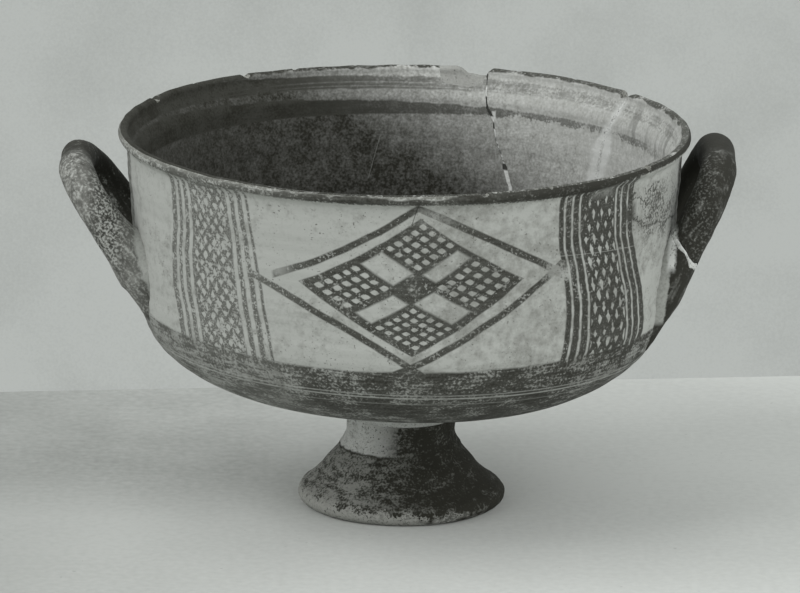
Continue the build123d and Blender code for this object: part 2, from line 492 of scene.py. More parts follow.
@dataclass(frozen=True)
class WallPaint:
    """Slip and painted ornament of the bowl's outside."""

    left: NetBand = NetBand(
        left_edge=(-93.3, 0.0, 1.6, 0.25), right_edge=(-56.0, 0.143, 0.0, 0.0), pace=0.126,
        lines=(0.088, 0.17, 0.262, 0.775, 0.862, 0.953), line_half=0.021, net=(0.296, 0.748),
        columns=9.0, row=5.4, spot=(0.52, 0.26), uneven=1.7,
    )
    right: NetBand = NetBand(
        left_edge=(55.3, 0.066, 1.7, 3.0), right_edge=(87.6, 0.26, 2.6, 3.8), pace=0.1,
        lines=(0.066, 0.155, 0.25, 0.73, 0.81, 0.912), line_half=0.012, net=(0.27, 0.712),
        columns=8.3, row=8.6, spot=(0.46, 0.22), uneven=1.2, starts=14.0,
    )
    centre: Field = Field()
    bottom: float = 33.5
    ruled_drop: float = 74.1
    stain_run: float = 88.0

    def material(self) -> Material:
        """Builds the finish.

        Returns:
            The material.
        """
        tree = Tree("painted_outside")
        hand = tree.grain(14.0, 1.0, shift=3.0).stray(1.1)
        front = tree.y.under(0.0, 0.1)
        plain_run = tree.turn() * RUN_RADIUS
        true_drop = HEIGHT - tree.z
        run = plain_run + hand
        drop = true_drop + tree.grain(11.0, 1.0, shift=9.0).stray(0.9)
        wander = tree.grain(2.6, 1.0, shift=5.0)
        fine = tree.grain(0.9, 3.0)
        patch = tree.grain(9.0, 3.0, shift=2.0)
        broad = tree.grain(28.0, 2.0, shift=7.0)
        flat = tree.place(plain_run, true_drop * 9.0, true_drop)
        streak = tree.grain(9.0, 3.0, at=flat)

        ornament = self.left.paint(run, drop, wander) | self.right.paint(run, drop, wander)
        ornament = ornament | self.centre.paint(run, drop, wander)
        edge = 63.7 - tree.math("MAXIMUM", -plain_run - 30.0, 0.0) * 0.04
        low_zone = drop.over(edge, 0.9)
        radius = tree.math("SQRT", tree.x * tree.x + tree.y * tree.y)
        dark_side = plain_run.over(32.0, 40.0)
        faded = plain_run.under(-40.0, 24.0)
        lip_low = 3.5 + fine.stray(2.5) + dark_side * 0.7 - plain_run.over(78.0, 20.0) * 2.0
        lip_high = 1.1 - dark_side * 4.0 + patch.stray(4.0)
        lip = true_drop.between(lip_high, lip_low, 0.6)
        lip_worn = (fine * 0.6 + patch * 0.4).over(0.6 - plain_run.under(-30.0, 60.0) * 0.07, 0.09)
        lip = lip * (1 - lip_worn * (0.62 - dark_side * 0.36 + plain_run.under(-64.0, 50.0) * 0.4))
        roots = abs(plain_run).over(131.0 - true_drop.over(48.0, 18.0) * 13.0, 2.5)

        # Worn places: flecks all over, more of them on the left, and four rubbed spots
        mottle = fine * 0.55 + patch * 0.45
        gone = mottle.under(0.405 + faded * 0.035, 0.06) | mottle.over(0.6 - faded * 0.045, 0.07)
        top_wear = true_drop.under(15.0, 22.0) * faded
        gone = gone * (0.62 + faded * 0.25) | mottle.over(0.56, 0.1) * top_wear
        corner = plain_run.near(56.5, 7.0, 9.0) & true_drop.near(31.5, 4.5, 7.0)
        gone = gone | (corner * 1.1 + mottle.stray(3.0)).over(0.85, 0.5) * 0.85
        gone = gone | (plain_run.near(-44.0, 3.0, 7.0) & true_drop.near(29.0, 2.5, 2.0)) * 0.6
        top = plain_run.near(11.0, 5.0, 6.0) & true_drop.near(8.0, 2.5, 3.0)
        gone = gone | top * mottle.over(0.46, 0.2) * 0.7
        band_top = plain_run.near(73.0, 4.0, 5.0) & true_drop.near(5.0, 1.5, 3.0)
        gone = gone | band_top * mottle.over(0.45, 0.1) * 0.7
        ornament = ornament & (1 - gone)

        # The low zone, with three scratched lines, brushed thin and worn most at both sides
        ruled = self.ruled_drop + plain_run * 0.0205
        scratched = true_drop.near(ruled, 0.26, 0.35) | true_drop.near(ruled - 1.3, 0.2, 0.35) * 0.8
        scratched = scratched | true_drop.near(ruled + 2.7, 0.16, 0.3) * 0.5
        brushed = fine * 0.42 + patch * 0.3 + streak * 0.28
        worn_from = 0.566 - true_drop.under(75.0, 12.0) * 0.012 - plain_run.under(-50.0, 60.0) * 0.055
        low_worn = brushed.over(worn_from - plain_run.over(65.0, 50.0) * 0.035, 0.08)
        low_paint = low_zone * (1 - low_worn * 0.68) * (1 - scratched * 0.75)
        paint = ((ornament | low_paint) | lip) | roots * (1 - low_worn * 0.5)
        paint = paint * radius.over(self.bottom, 1.0)

        # Slip: blotched and pitted, darker to the right with dirt and painted shade, with a glue stain
        # under the rim there
        blot = tree.grain(3.2, 3.0, shift=14.0)
        specks = tree.grain(0.8, 1.0, shift=11.0).over(0.7, 0.05) * patch.over(0.48, 0.12)
        # Darker towards the right: partly dirt and partly painted shade on the side turned from the light
        dirt_and_painted_shade_right = plain_run.between(6.0, 104.0, 24.0) * front
        dirt = (broad * 0.35 + patch * 0.35 + blot * 0.3 + dirt_and_painted_shade_right * 0.13).over(0.6, 0.16)
        brim = (plain_run * 0.12 + 10.5) & (plain_run * 0.5 - 26.8)
        dark_patch = true_drop.near(brim + patch.stray(5.0), 0.5 + fine.stray(4.0), 1.0)
        dark_patch = dark_patch & plain_run.over(self.stain_run, 3.0)
        blob = plain_run.near(self.stain_run, 3.0, 3.0) & true_drop.near(16.0, 3.0, 3.0)
        blob = blob * fine.over(0.36, 0.1)
        veins = abs(tree.grain(5.5, 2.0, shift=17.0) - 0.5).under(0.02, 0.016)
        veins = veins * plain_run.near(98.0, 11.0, 4.0) * true_drop.between(8.0, brim, 1.5)
        dark_patch = dark_patch | veins * fine.over(0.42, 0.1)
        smudge = true_drop.between(10.0, brim + 5.0, 6.0)
        smudge = smudge * plain_run.between(self.stain_run, 128.0, 8.0)
        dark_patch = dark_patch | smudge * (mottle.over(0.53, 0.05) * 0.7 + 0.2)
        bare_lip = true_drop.under(1.1 + fine.stray(2.0), 0.6)
        shade = dirt * 0.55 + blot.stray(1.2) + fine.stray(0.9) + broad.stray(0.6) + 0.04
        slip = tree.blend(Tone.SLIP, Tone.SLIP_DIRTY, shade.clamped())
        # The bare middle of the underside is given a pale tone, partly painted light where it lies in shade
        slip = tree.blend(slip, Tone.BARE, radius.under(self.bottom, 1.0))
        slip = tree.blend(slip, Tone.CLAY_DARK, bare_lip * (0.3 + mottle.over(0.47, 0.1) * 0.5))
        slip = tree.blend(slip, Tone.CLAY_DARK, specks * 0.75)
        slip = tree.blend(slip, Tone.PAINT, dark_patch * front * 0.85)

        # Paint, thinner where it is mottled, and the glue's blob; over them hairlines and pale scratches
        thin = (mottle * 0.7 + streak * 0.3).over(0.5, 0.22)
        thin = thin * (0.95 - dark_side * (0.4 + lip * 0.55)) + faded * 0.4
        dark = tree.blend(Tone.PAINT, Tone.PAINT_THIN, thin.clamped())
        dark = tree.blend(dark, Tone.SLIP_DIRTY, faded * 0.2)
        colour = tree.blend(slip, dark, paint | blob * front * 0.9)
        hair = plain_run.near(4.9 - (true_drop - 3.0) * 0.3, 0.12, 0.2) & true_drop.between(2.0, 10.5, 0.5)
        left_hair = plain_run.near(-116.2 + (true_drop - 1.5) * 0.25, 0.4, 0.4)
        hair = hair | (left_hair & true_drop.between(1.3, 5.4, 0.5))
        pale = true_drop.near(25.6 + (plain_run - 57.0) * 0.075, 0.14, 0.25)
        pale = pale & plain_run.between(55.0, 92.0, 2.0)
        left_pale = true_drop.near(32.3 + patch.stray(3.0), 0.3, 0.4)
        pale = pale | (left_pale & plain_run.between(-84.0, -52.0, 3.0))
        colour = tree.blend(colour, Tone.SOIL, hair * front * 0.85)
        colour = tree.blend(colour, Tone.SLIP, pale * front * 0.4)
        height = fine * 0.4 + patch * 0.25 - specks * 0.7 + streak * 0.3
        return tree.finish(colour, height, 0.16, rough=0.82 - paint * 0.14)


@dataclass(frozen=True)
class InnerPaint:
    """Bands and wash of the bowl's inside, with painted shade darkening its left and its lower part."""

    bands: tuple[float, ...] = (3.8, 8.4, 12.9, 17.2)

    def material(self) -> Material:
        """Builds the finish.

        Returns:
            The material.
        """
        tree = Tree("painted_inside")
        run = tree.turn() * RUN_RADIUS
        back = tree.y.over(0.0, 4.0)
        drop = HEIGHT - tree.z
        fine = tree.grain(0.9, 3.0, shift=4.0)
        patch = tree.grain(8.0, 3.0, shift=6.0)
        flat = tree.place(run, drop * 9.0, 0.0)
        streak = tree.grain(8.0, 3.0, at=flat)
        mottle = fine * 0.5 + patch * 0.5
        uneven = drop + patch.stray(1.6) + fine.stray(0.6)

        # At the left the bands lie higher and the lower one is wider; to the right both thin out
        right = run.over(28.0, 60.0)
        fade = run.over(10.0, 130.0)
        dim = run.under(-52.0, 110.0)
        upper_top, upper_low, lower_top, lower_low = self.bands
        upper = uneven.between(upper_top - dim * dim * 6.3, upper_low - dim * 2.6 - right * 0.8, 0.6)
        ruled = drop.near(6.1 - dim * 2.0, 0.25, 0.3) | drop.near(7.4 - dim * 2.0, 0.2, 0.3)
        upper = upper * (1 - ruled * run.between(-80.0, 30.0, 40.0) * 0.45)
        upper = upper * (1 - fade * 0.82 + (mottle * 0.7 + streak * 0.3).stray(4.0) * fade).clamped()
        ragged = lower_low - dim * 0.8 - right * 1.3 + right * (patch.stray(7.0) + fine.stray(4.0))
        lower = uneven.over(lower_top - dim * 5.8 + right * 0.8, 0.6) & drop.under(ragged, 0.6)
        kept = 1 - fade * 0.42 - run.over(112.0, 16.0) * 0.4 + mottle.stray(3.0) * fade
        lower = lower * kept.clamped()
        top_line = drop.under(1.1 + patch.stray(4.0), 0.5) * mottle.over(0.42, 0.14)
        worn = mottle.over(0.58, 0.08)
        paint = ((upper | lower) | top_line) * (1 - worn * 0.4)

        # Dark wash, deepest at the left and low down, almost gone at the right, a step at the first crack;
        # its darkening to the left and low down is partly painted shade
        blot = tree.grain(2.6, 3.0, shift=9.0)
        step = (run - drop * 0.38).under(26.2, 0.6) * drop.over(16.0, 2.0) * back * 0.07
        wash_and_painted_shade = drop * 0.0179 - tree.x * 0.0118 + 0.255 - drop.under(4.0, 2.0) * 0.13 + step
        loose = run.over(-50.0, 100.0) * 0.65 + 0.35
        wash_and_painted_shade = (wash_and_painted_shade & 0.93) + (patch.stray(0.25) + blot.stray(0.3) + fine.stray(0.5)) * loose
        clay = tree.blend(Tone.BARE, Tone.CLAY, (0.45 + fine.stray(1.4) + blot.stray(1.0)).clamped())
        clay = tree.blend(clay, Tone.PAINT, wash_and_painted_shade.clamped())
        upright = tree.grain(5.0, 1.0, at=tree.place(run, drop * 0.16, 0.0), shift=8.0).over(0.56, 0.12)
        upright = upright * run.over(88.0, 12.0) * drop.between(3.0, 17.0, 8.0)
        clay = tree.blend(clay, Tone.WASH, upright * 0.6)
        tone = mottle.over(0.5, 0.22) * (0.35 + right * 0.65)
        colour = tree.blend(clay, tree.blend(Tone.PAINT, Tone.PAINT_THIN, tone), paint)

        # Plaster rubbed in beside the second crack, a blob at the first one's hole, and a hairline
        seam = drop.curve(92.4, -0.5, 0.005)
        reach = 1.5 + drop.over(14.5, 6.0) * 2.8 + patch.stray(8.0) + fine.stray(4.0)
        rub = abs(run - seam).under(reach, 2.0)
        rub = (rub & drop.between(5.0, 44.0, 6.0)) * back
        blob = (run.near(33.8, 0.7, 0.5) & drop.between(14.6, 17.4, 0.5)) * back
        colour = tree.blend(colour, Tone.PLASTER, rub * (0.45 + mottle.over(0.47, 0.16) * 0.4) | blob * 0.9)
        hair = run.near(-9.5 - (drop - 26.0) * 0.3, 0.1, 0.2) & drop.between(25.0, 40.5, 1.0)
        colour = tree.blend(colour, Tone.SLIP, hair * back * 0.35)
        height = fine * 0.35 + patch * 0.2 + streak * 0.45
        return tree.finish(colour, height, 0.16, rough=0.84 - paint * 0.12, gloss=0.12)


@dataclass(frozen=True)
class DarkPaint:
    """Dark paint of a handle, over clay that shows through where it is worn, and a grey haze on its near
    side that is partly painted light.

    The flank is how far out the slip reaches on the front root at the root's level, and its slope and
    bend. The lean is that of the leg, in degrees from upright.
    """

    name: str
    wear: float
    haze_and_painted_light: float
    flank: tuple[float, float, float]
    lean: float
    mended: bool = False
    root_level: float = 72.0

    def material(self) -> Material:
        """Builds the finish.

        Returns:
            The material.
        """
        tree = Tree(self.name)
        reach = abs(tree.x)
        tip = radians(self.lean)
        across, along = reach * cos(tip) - tree.z * sin(tip), reach * sin(tip) + tree.z * cos(tip)
        fine = tree.grain(0.9, 3.0)
        patch = tree.grain(6.0, 3.0)
        streak = tree.grain(2.0, 3.0, at=tree.place(across, tree.y, along * 0.2), shift=6.0)
        near = (-tree.y).over(8.0, 12.0)
        edge = reach.over(114.0 + patch.stray(14.0), 5.0) * near
        mottle = fine * 0.4 + patch * 0.2 + streak * 0.4
        bare = (mottle + edge * 0.05).over(0.62 - self.wear * 0.07 * near, 0.12)
        thin = mottle.stray(3.0) + self.wear * 0.42 - 0.32
        dark = tree.blend(Tone.PAINT, Tone.PAINT_THIN, thin.clamped())
        # Grey haze on the near side: partly thin paint, partly painted light, strongest on the left handle,
        # which faces the light
        haze_and_painted_light_mask = near * (self.haze_and_painted_light + streak.stray(1.6) + patch.stray(1.0)) * reach.over(88.0, 10.0)
        dark = tree.blend(dark, Tone.WASH, haze_and_painted_light_mask.clamped())
        pale = tree.blend(Tone.CLAY, Tone.SLIP, fine.over(0.52, 0.2))
        colour = tree.blend(dark, pale, bare * (0.05 + self.wear * 0.75))
        grit = reach.near(103.0, 5.0, 6.0) * near * self.wear * tree.z.over(92.0, 14.0)
        colour = tree.blend(colour, Tone.SOIL, grit * fine.under(0.46, 0.06) * 0.8)
        colour = tree.blend(colour, Tone.SLIP, grit * fine.over(0.56, 0.06) * 0.8)

        # Slip runs up the root's flank, and by the break plaster is smeared along it
        ragged = (patch.stray(4.0) + fine.stray(2.0)) * (0.4 + self.wear * 0.6)
        limit = (tree.z - self.root_level).curve(*self.flank) + ragged
        slip = reach.under(limit, 0.4 + self.wear * 0.8) * near * tree.z.between(73.0, 112.0, 2.0)
        dirt = fine.over(0.55, 0.25) * 0.4 + 0.45 - self.wear * 0.3
        colour = tree.blend(colour, tree.blend(Tone.SLIP, Tone.SLIP_DIRTY, dirt), slip)
        if self.mended:
            smear = reach.near(limit + 0.4, 1.3, 1.0) * near * tree.z.between(93.0, 107.0, 3.0)
            colour = tree.blend(colour, Tone.PLASTER, smear * mottle.over(0.42, 0.06))
        height = fine * 0.4 + patch * 0.35 - bare * 0.15 + streak * 0.2
        return tree.finish(colour, height, 0.25, rough=0.74 + bare * 0.12)


@dataclass(frozen=True)
class FootPaint:
    """Dark paint of the foot, worn at the neck's left and bare round the standing edge; the neck's left is
    also lightened as painted light and its right darkened as painted shade.
    """

    ridge: float = 21.2

    def material(self) -> Material:
        """Builds the finish.

        Returns:
            The material.
        """
        tree = Tree("painted_foot")
        fine = tree.grain(0.8, 3.0)
        patch = tree.grain(5.0, 3.0, shift=3.0)
        broad = tree.grain(15.0, 2.0, shift=8.0)
        turn = tree.turn()
        left = (-turn).over(-0.1, 1.3)
        brush = tree.grain(5.0, 3.0, at=tree.place(turn * 24.0, tree.z * 3.5, 0.0), shift=5.0)
        mottle = fine * 0.35 + patch * 0.2 + broad * 0.15 + brush * 0.3
        fleck = fine * 0.65 + patch * 0.35
        neck = tree.z.over(self.ridge + patch.stray(3.0), 0.8)
        # Painted light and shade: the neck's left is bare clay lifted to a pale tone, and the right side is
        # kept darker
        bare_neck_and_painted_light = (-turn).over(0.5, 1.3) * 1.2 - turn.over(0.1, 0.8) * 1.1
        bare_neck_and_painted_light = neck * (bare_neck_and_painted_light + mottle.stray(2.5) + 0.28).clamped()
        shady = turn.over(-0.25, 0.7)
        flecks = fleck.over(0.585 - left * 0.05, 0.08) * (0.35 + left * 0.5)
        worn = ((mottle + left * 0.07).over(0.575, 0.08) | flecks) * (1 - shady * 0.7)
        ragged = 3.4 + left * 2.6 + patch.stray(9.0) + fine.stray(6.0)
        base = tree.z.under(ragged, 0.6) * turn.under(0.55 + patch.stray(2.0), 0.4)
        base = base | tree.z.under(1.4 + patch.stray(6.0), 0.7) * 0.4
        base = base * (1 - fleck.over(0.55, 0.08) * (0.35 + turn.over(0.0, 1.0) * 0.5))
        thin = (mottle + left * 0.08 - 0.05 - shady * 0.06).over(0.5, 0.16)
        dark = tree.blend(Tone.PAINT, Tone.PAINT_THIN, thin)
        clay = tree.blend(Tone.CLAY, Tone.SLIP_DIRTY, fleck.over(0.52, 0.2))
        dirt = (mottle - (-turn).over(0.5, 0.8) * 0.06).over(0.5, 0.16)
        pale = tree.blend(Tone.BARE, Tone.SLIP_DIRTY, dirt)
        colour = tree.blend(dark, clay, worn * 0.75)
        colour = tree.blend(colour, pale, bare_neck_and_painted_light * 0.95)
        square = turn.between(0.41, 0.66, 0.05) * tree.z.between(self.ridge + 0.5, 29.0, 0.8)
        colour = tree.blend(colour, dark, square)
        colour = tree.blend(colour, clay, base * 0.95)
        line = tree.z.near(self.ridge - 0.4 + patch.stray(2.0), 0.3, 0.5) * left
        colour = tree.blend(colour, Tone.PAINT, line * 0.85)
        specks = tree.grain(0.8, 1.0, shift=12.0).over(0.66, 0.06)
        colour = tree.blend(colour, Tone.SOIL, specks * 0.7)
        height = fine * 0.5 + patch * 0.3 - worn * 0.12 - base * 0.3 - bare_neck_and_painted_light * 0.2
        return tree.finish(colour, height, 0.3, rough=0.8, gloss=0.12)


@dataclass(frozen=True)
class PlainFinish:
    """Bare clay or plaster, mottled, pitted and dirty."""

    name: str
    light: Tone
    dark: Tone
    dirty: float
    pits: float = 0.66

    def material(self) -> Material:
        """Builds the finish.

        Returns:
            The material.
        """
        tree = Tree(self.name)
        fine = tree.grain(0.7, 3.0)
        patch = tree.grain(4.0, 3.0)
        dirt = (fine * 0.5 + patch * 0.5).over(0.62 - self.dirty * 0.2, 0.22)
        colour = tree.blend(self.light, self.dark, dirt)
        specks = tree.grain(0.6, 1.0, shift=6.0).over(self.pits, 0.05)
        colour = tree.blend(colour, Tone.SOIL, specks * 0.75)
        return tree.finish(colour, fine * 0.6 + patch * 0.5 - specks * 0.8, 0.35, rough=0.9, gloss=0.15)


@dataclass(frozen=True)
class SeamFinish:
    """Thin fill of the first crack: white plaster that has dropped out in places and left holes, which with
    the crack's open top are painted dark as painted shade.
    """

    dark_holes_painted_shade: Places = ((9.5, 16.6), (18.6, 21.0), (33.2, 35.6))

    def material(self) -> Material:
        """Builds the finish.

        Returns:
            The material.
        """
        tree = Tree("seam_plaster")
        drop = HEIGHT - tree.z
        fine = tree.grain(0.9, 2.0)
        # The open top, the holes and the dotted gaps are painted dark: painted shade in the gaps of the
        # fill
        dark = drop.under(6.0, 1.0)
        for low, high in self.dark_holes_painted_shade:
            dark = dark | drop.between(low, high, 0.6)
        dotted = drop.between(24.0, 33.0, 1.0) * fine.over(0.5, 0.1)
        colour = tree.blend(Tone.PLASTER, Tone.SOIL, (dark | dotted * 0.8) * 0.95)
        return tree.finish(colour, fine, 0.3, rough=0.9, gloss=0.15)


def smooth(low: float, high: float, value: np.ndarray) -> np.ndarray:
    """Smooth rise from 0 at low to 1 at high."""
    share = np.clip((value - low) / (high - low), 0.0, 1.0)
    return share * share * (3 - 2 * share)


def drift(angle: np.ndarray, level: np.ndarray, seed: int, most: int, reach: float) -> np.ndarray:
    """Gentle closed unevenness round a turned form.

    Args:
        angle: Angles about the axis in radians.
        level: Lengths along the form in millimetres.
        seed: Seed of its waves.
        most: Most waves that go round.
        reach: Length over which it changes along the form.

    Returns:
        Values of about -1 to 1.
    """
    dice = np.random.default_rng(seed)
    total = np.zeros_like(angle)
    for _ in range(10):
        waves, slant, phase = dice.integers(1, most + 1), dice.normal() / reach, dice.uniform(0, 2 * pi)
        total += np.cos(waves * angle + slant * level + phase)
    return total / 4.5


def polar(spots: np.ndarray) -> tuple[np.ndarray, np.ndarray, np.ndarray]:
    """Radii, angles and levels of vertices."""
    return np.hypot(spots[:, 0], spots[:, 1]), np.arctan2(spots[:, 1], spots[:, 0]), spots[:, 2]


def moved_out(spots: np.ndarray, change: np.ndarray) -> np.ndarray:
    """Moves vertices away from the axis.

    Args:
        spots: Vertices in millimetres.
        change: How far each one moves out.

    Returns:
        The moved vertices.
    """
    made = spots.copy()
    made[:, :2] *= (1 + change / np.maximum(polar(spots)[0], 1.0))[:, None]
    return made


def roughness_at(spot: Vector | np.ndarray, size: float, seed: float) -> float:
    """Noise of about -1 to 1 at a spot."""
    return noise.fractal(Vector(spot) / size + Vector((seed, seed, seed)), 1.0, 2.0, 3)


def make_piece(name: str, spots: np.ndarray, faces: list) -> Piece:
    """Makes an object at the origin.

    Args:
        name: The piece's name.
        spots: Vertices in millimetres.
        faces: Faces as lists of vertex numbers.

    Returns:
        The object, in the scene.
    """
    mesh = bpy.data.meshes.new(name)
    mesh.from_pydata((np.asarray(spots) * MM).tolist(), [], faces)
    mesh.validate()
    mesh.shade_smooth()
    piece = bpy.data.objects.new(name, mesh)
    bpy.context.scene.collection.objects.link(piece)
    return piece


def hoops(rings: int, around: int) -> list:
    """Faces between neighbouring rings.

    Args:
        rings: Number of rings.
        around: Number of vertices in each.

    Returns:
        The faces.
    """
    faces = []
    for low in range(0, (rings - 1) * around, around):
        high = low + around
        for step in range(around):
            after = (step + 1) % around
            faces.append((low + step, low + after, high + after, high + step))
    return faces


def turned(outline: np.ndarray, around: int) -> tuple[np.ndarray, list]:
    """Closed form turned about the axis.

    Args:
        outline: Radii and levels, whose first and last points lie on the axis.
        around: Number of segments.

    Returns:
        Vertices and faces.
    """
    angles = np.linspace(0, 2 * pi, around, endpoint=False)
    body = outline[1:-1]
    rings = len(body)
    radii, turns = np.meshgrid(body[:, 0], angles, indexing="ij")
    levels = np.repeat(body[:, 1:2], around, axis=1)
    spots = np.stack([radii * np.cos(turns), radii * np.sin(turns), levels], axis=-1).reshape(-1, 3)
    ends = np.array([[0, 0, outline[0, 1]], [0, 0, outline[-1, 1]]])
    first, last = rings * around, rings * around + 1
    faces = hoops(rings, around)
    top = (rings - 1) * around
    for step in range(around):
        after = (step + 1) % around
        faces.append((first, after, step))
        faces.append((last, top + step, top + after))
    return np.vstack([spots, ends]), faces


def closed(piece: Piece) -> Piece:
    """Turns all faces of a closed piece outwards.

    Args:
        piece: The piece.

    Returns:
        The same piece.
    """
    shape = bmesh.new()
    shape.from_mesh(piece.data)
    bmesh.ops.recalc_face_normals(shape, faces=shape.faces)
    if shape.calc_volume(signed=True) < 0:
        bmesh.ops.reverse_faces(shape, faces=shape.faces)
    open_edges = sum(not edge.is_manifold for edge in shape.edges)
    if open_edges:
        log.warning("%s has %d open edges", piece.name, open_edges)
    shape.to_mesh(piece.data)
    shape.free()
    return piece


def coat(piece: Piece, finish: Material) -> None:
    """Gives all faces of a piece one finish.

    Args:
        piece: The piece.
        finish: Its material.
    """
    mesh = piece.data
    mesh.materials.clear()
    mesh.materials.append(finish)
    mesh.polygons.foreach_set("material_index", np.zeros(len(mesh.polygons), dtype=np.int32))


def carve(piece: Piece, cutter: Piece, operation: str) -> Piece:
    """Cuts a piece and applies the result.

    Args:
        piece: What is cut.
        cutter: What it is cut with.
        operation: DIFFERENCE or INTERSECT.

    Returns:
        The piece.
    """
    modifier = piece.modifiers.new("carve", "BOOLEAN")
    modifier.operation = operation
    modifier.solver = "MANIFOLD"
    modifier.object = cutter
    bpy.context.view_layer.update()
    cut = bpy.data.meshes.new_from_object(piece.evaluated_get(bpy.context.evaluated_depsgraph_get()))
    piece.modifiers.clear()
    old = piece.data
    piece.data = cut
    bpy.data.meshes.remove(old)
    return piece


def cut_away(piece: Piece, cutter: Piece) -> None:
    """Cuts a piece and takes the cutter out of the scene."""
    carve(piece, cutter, "DIFFERENCE")
    bpy.data.objects.remove(cutter)


def part_off(piece: Piece, cutter: Piece, name: str) -> Piece:
    """Cuts a new piece out of another.

    Args:
        piece: What is cut, which keeps the rest.
        cutter: Form of the new piece.
        name: Its name.

    Returns:
        The new piece.
    """
    taken = bpy.data.objects.new(name, piece.data.copy())
    bpy.context.scene.collection.objects.link(taken)
    carve(taken, cutter, "INTERSECT")
    cut_away(piece, cutter)
    return taken


def jagged(line: Line, step: float, amount: float, seed: float) -> Line:
    """Breaks a line of angles and drops into short uneven steps.

    Args:
        line: Its places.
        step: Length of a step in millimetres.
        amount: How far the steps stray.
        seed: Seed of their noise.

    Returns:
        The uneven line, which starts at the same place.
    """
    arc = radians(1.0) * RIM_RADIUS
    made = [line[0]]
    for (angle, drop), (next_angle, next_drop) in zip(line, line[1:]):
        length = sqrt(((next_angle - angle) * arc) ** 2 + (next_drop - drop) ** 2)
        count = max(1, round(length / step))
        for index in range(1, count + 1):
            share = index / count
            here = (angle + (next_angle - angle) * share, drop + (next_drop - drop) * share)
            spot = Vector((here[0] * arc, here[1], seed * 31.0))
            fade = min(1.0, 2 * (1 - share), 2 * share + 0.6) if index < count else 0.6
            made.append((
                here[0] + roughness_at(spot, 3.0, seed) * amount / arc * fade,
                here[1] + roughness_at(spot, 3.0, seed + 7.0) * amount * fade,
            ))
    return made


def wedge(name: str, outline: Line, inner: float = 60.0, outer: float = 150.0) -> Piece:
    """Cutter that goes out through the wall from near the axis.

    Args:
        name: The cutter's name.
        outline: Its angles in degrees and drops on the wall.
        inner: Radius where it starts.
        outer: Radius where it ends.

    Returns:
        The cutter.
    """
    degree_width = 1.75
    spots = []
    for radius in (inner, outer):
        for angle, drop in outline:
            spots.append((radius * cos(radians(angle)), radius * sin(radians(angle)), HEIGHT - drop))
    count = len(outline)
    faces = []
    for index in range(count):
        after = (index + 1) % count
        faces.append((index, index + count, after + count, after))
    flat = [Vector((angle * degree_width, -drop, 0.0)) for angle, drop in outline]
    for corners in tessellate_polygon([flat]):
        faces.append(tuple(corners))
        faces.append(tuple(corner + count for corner in corners))
    return closed(make_piece(name, np.array(spots), faces))


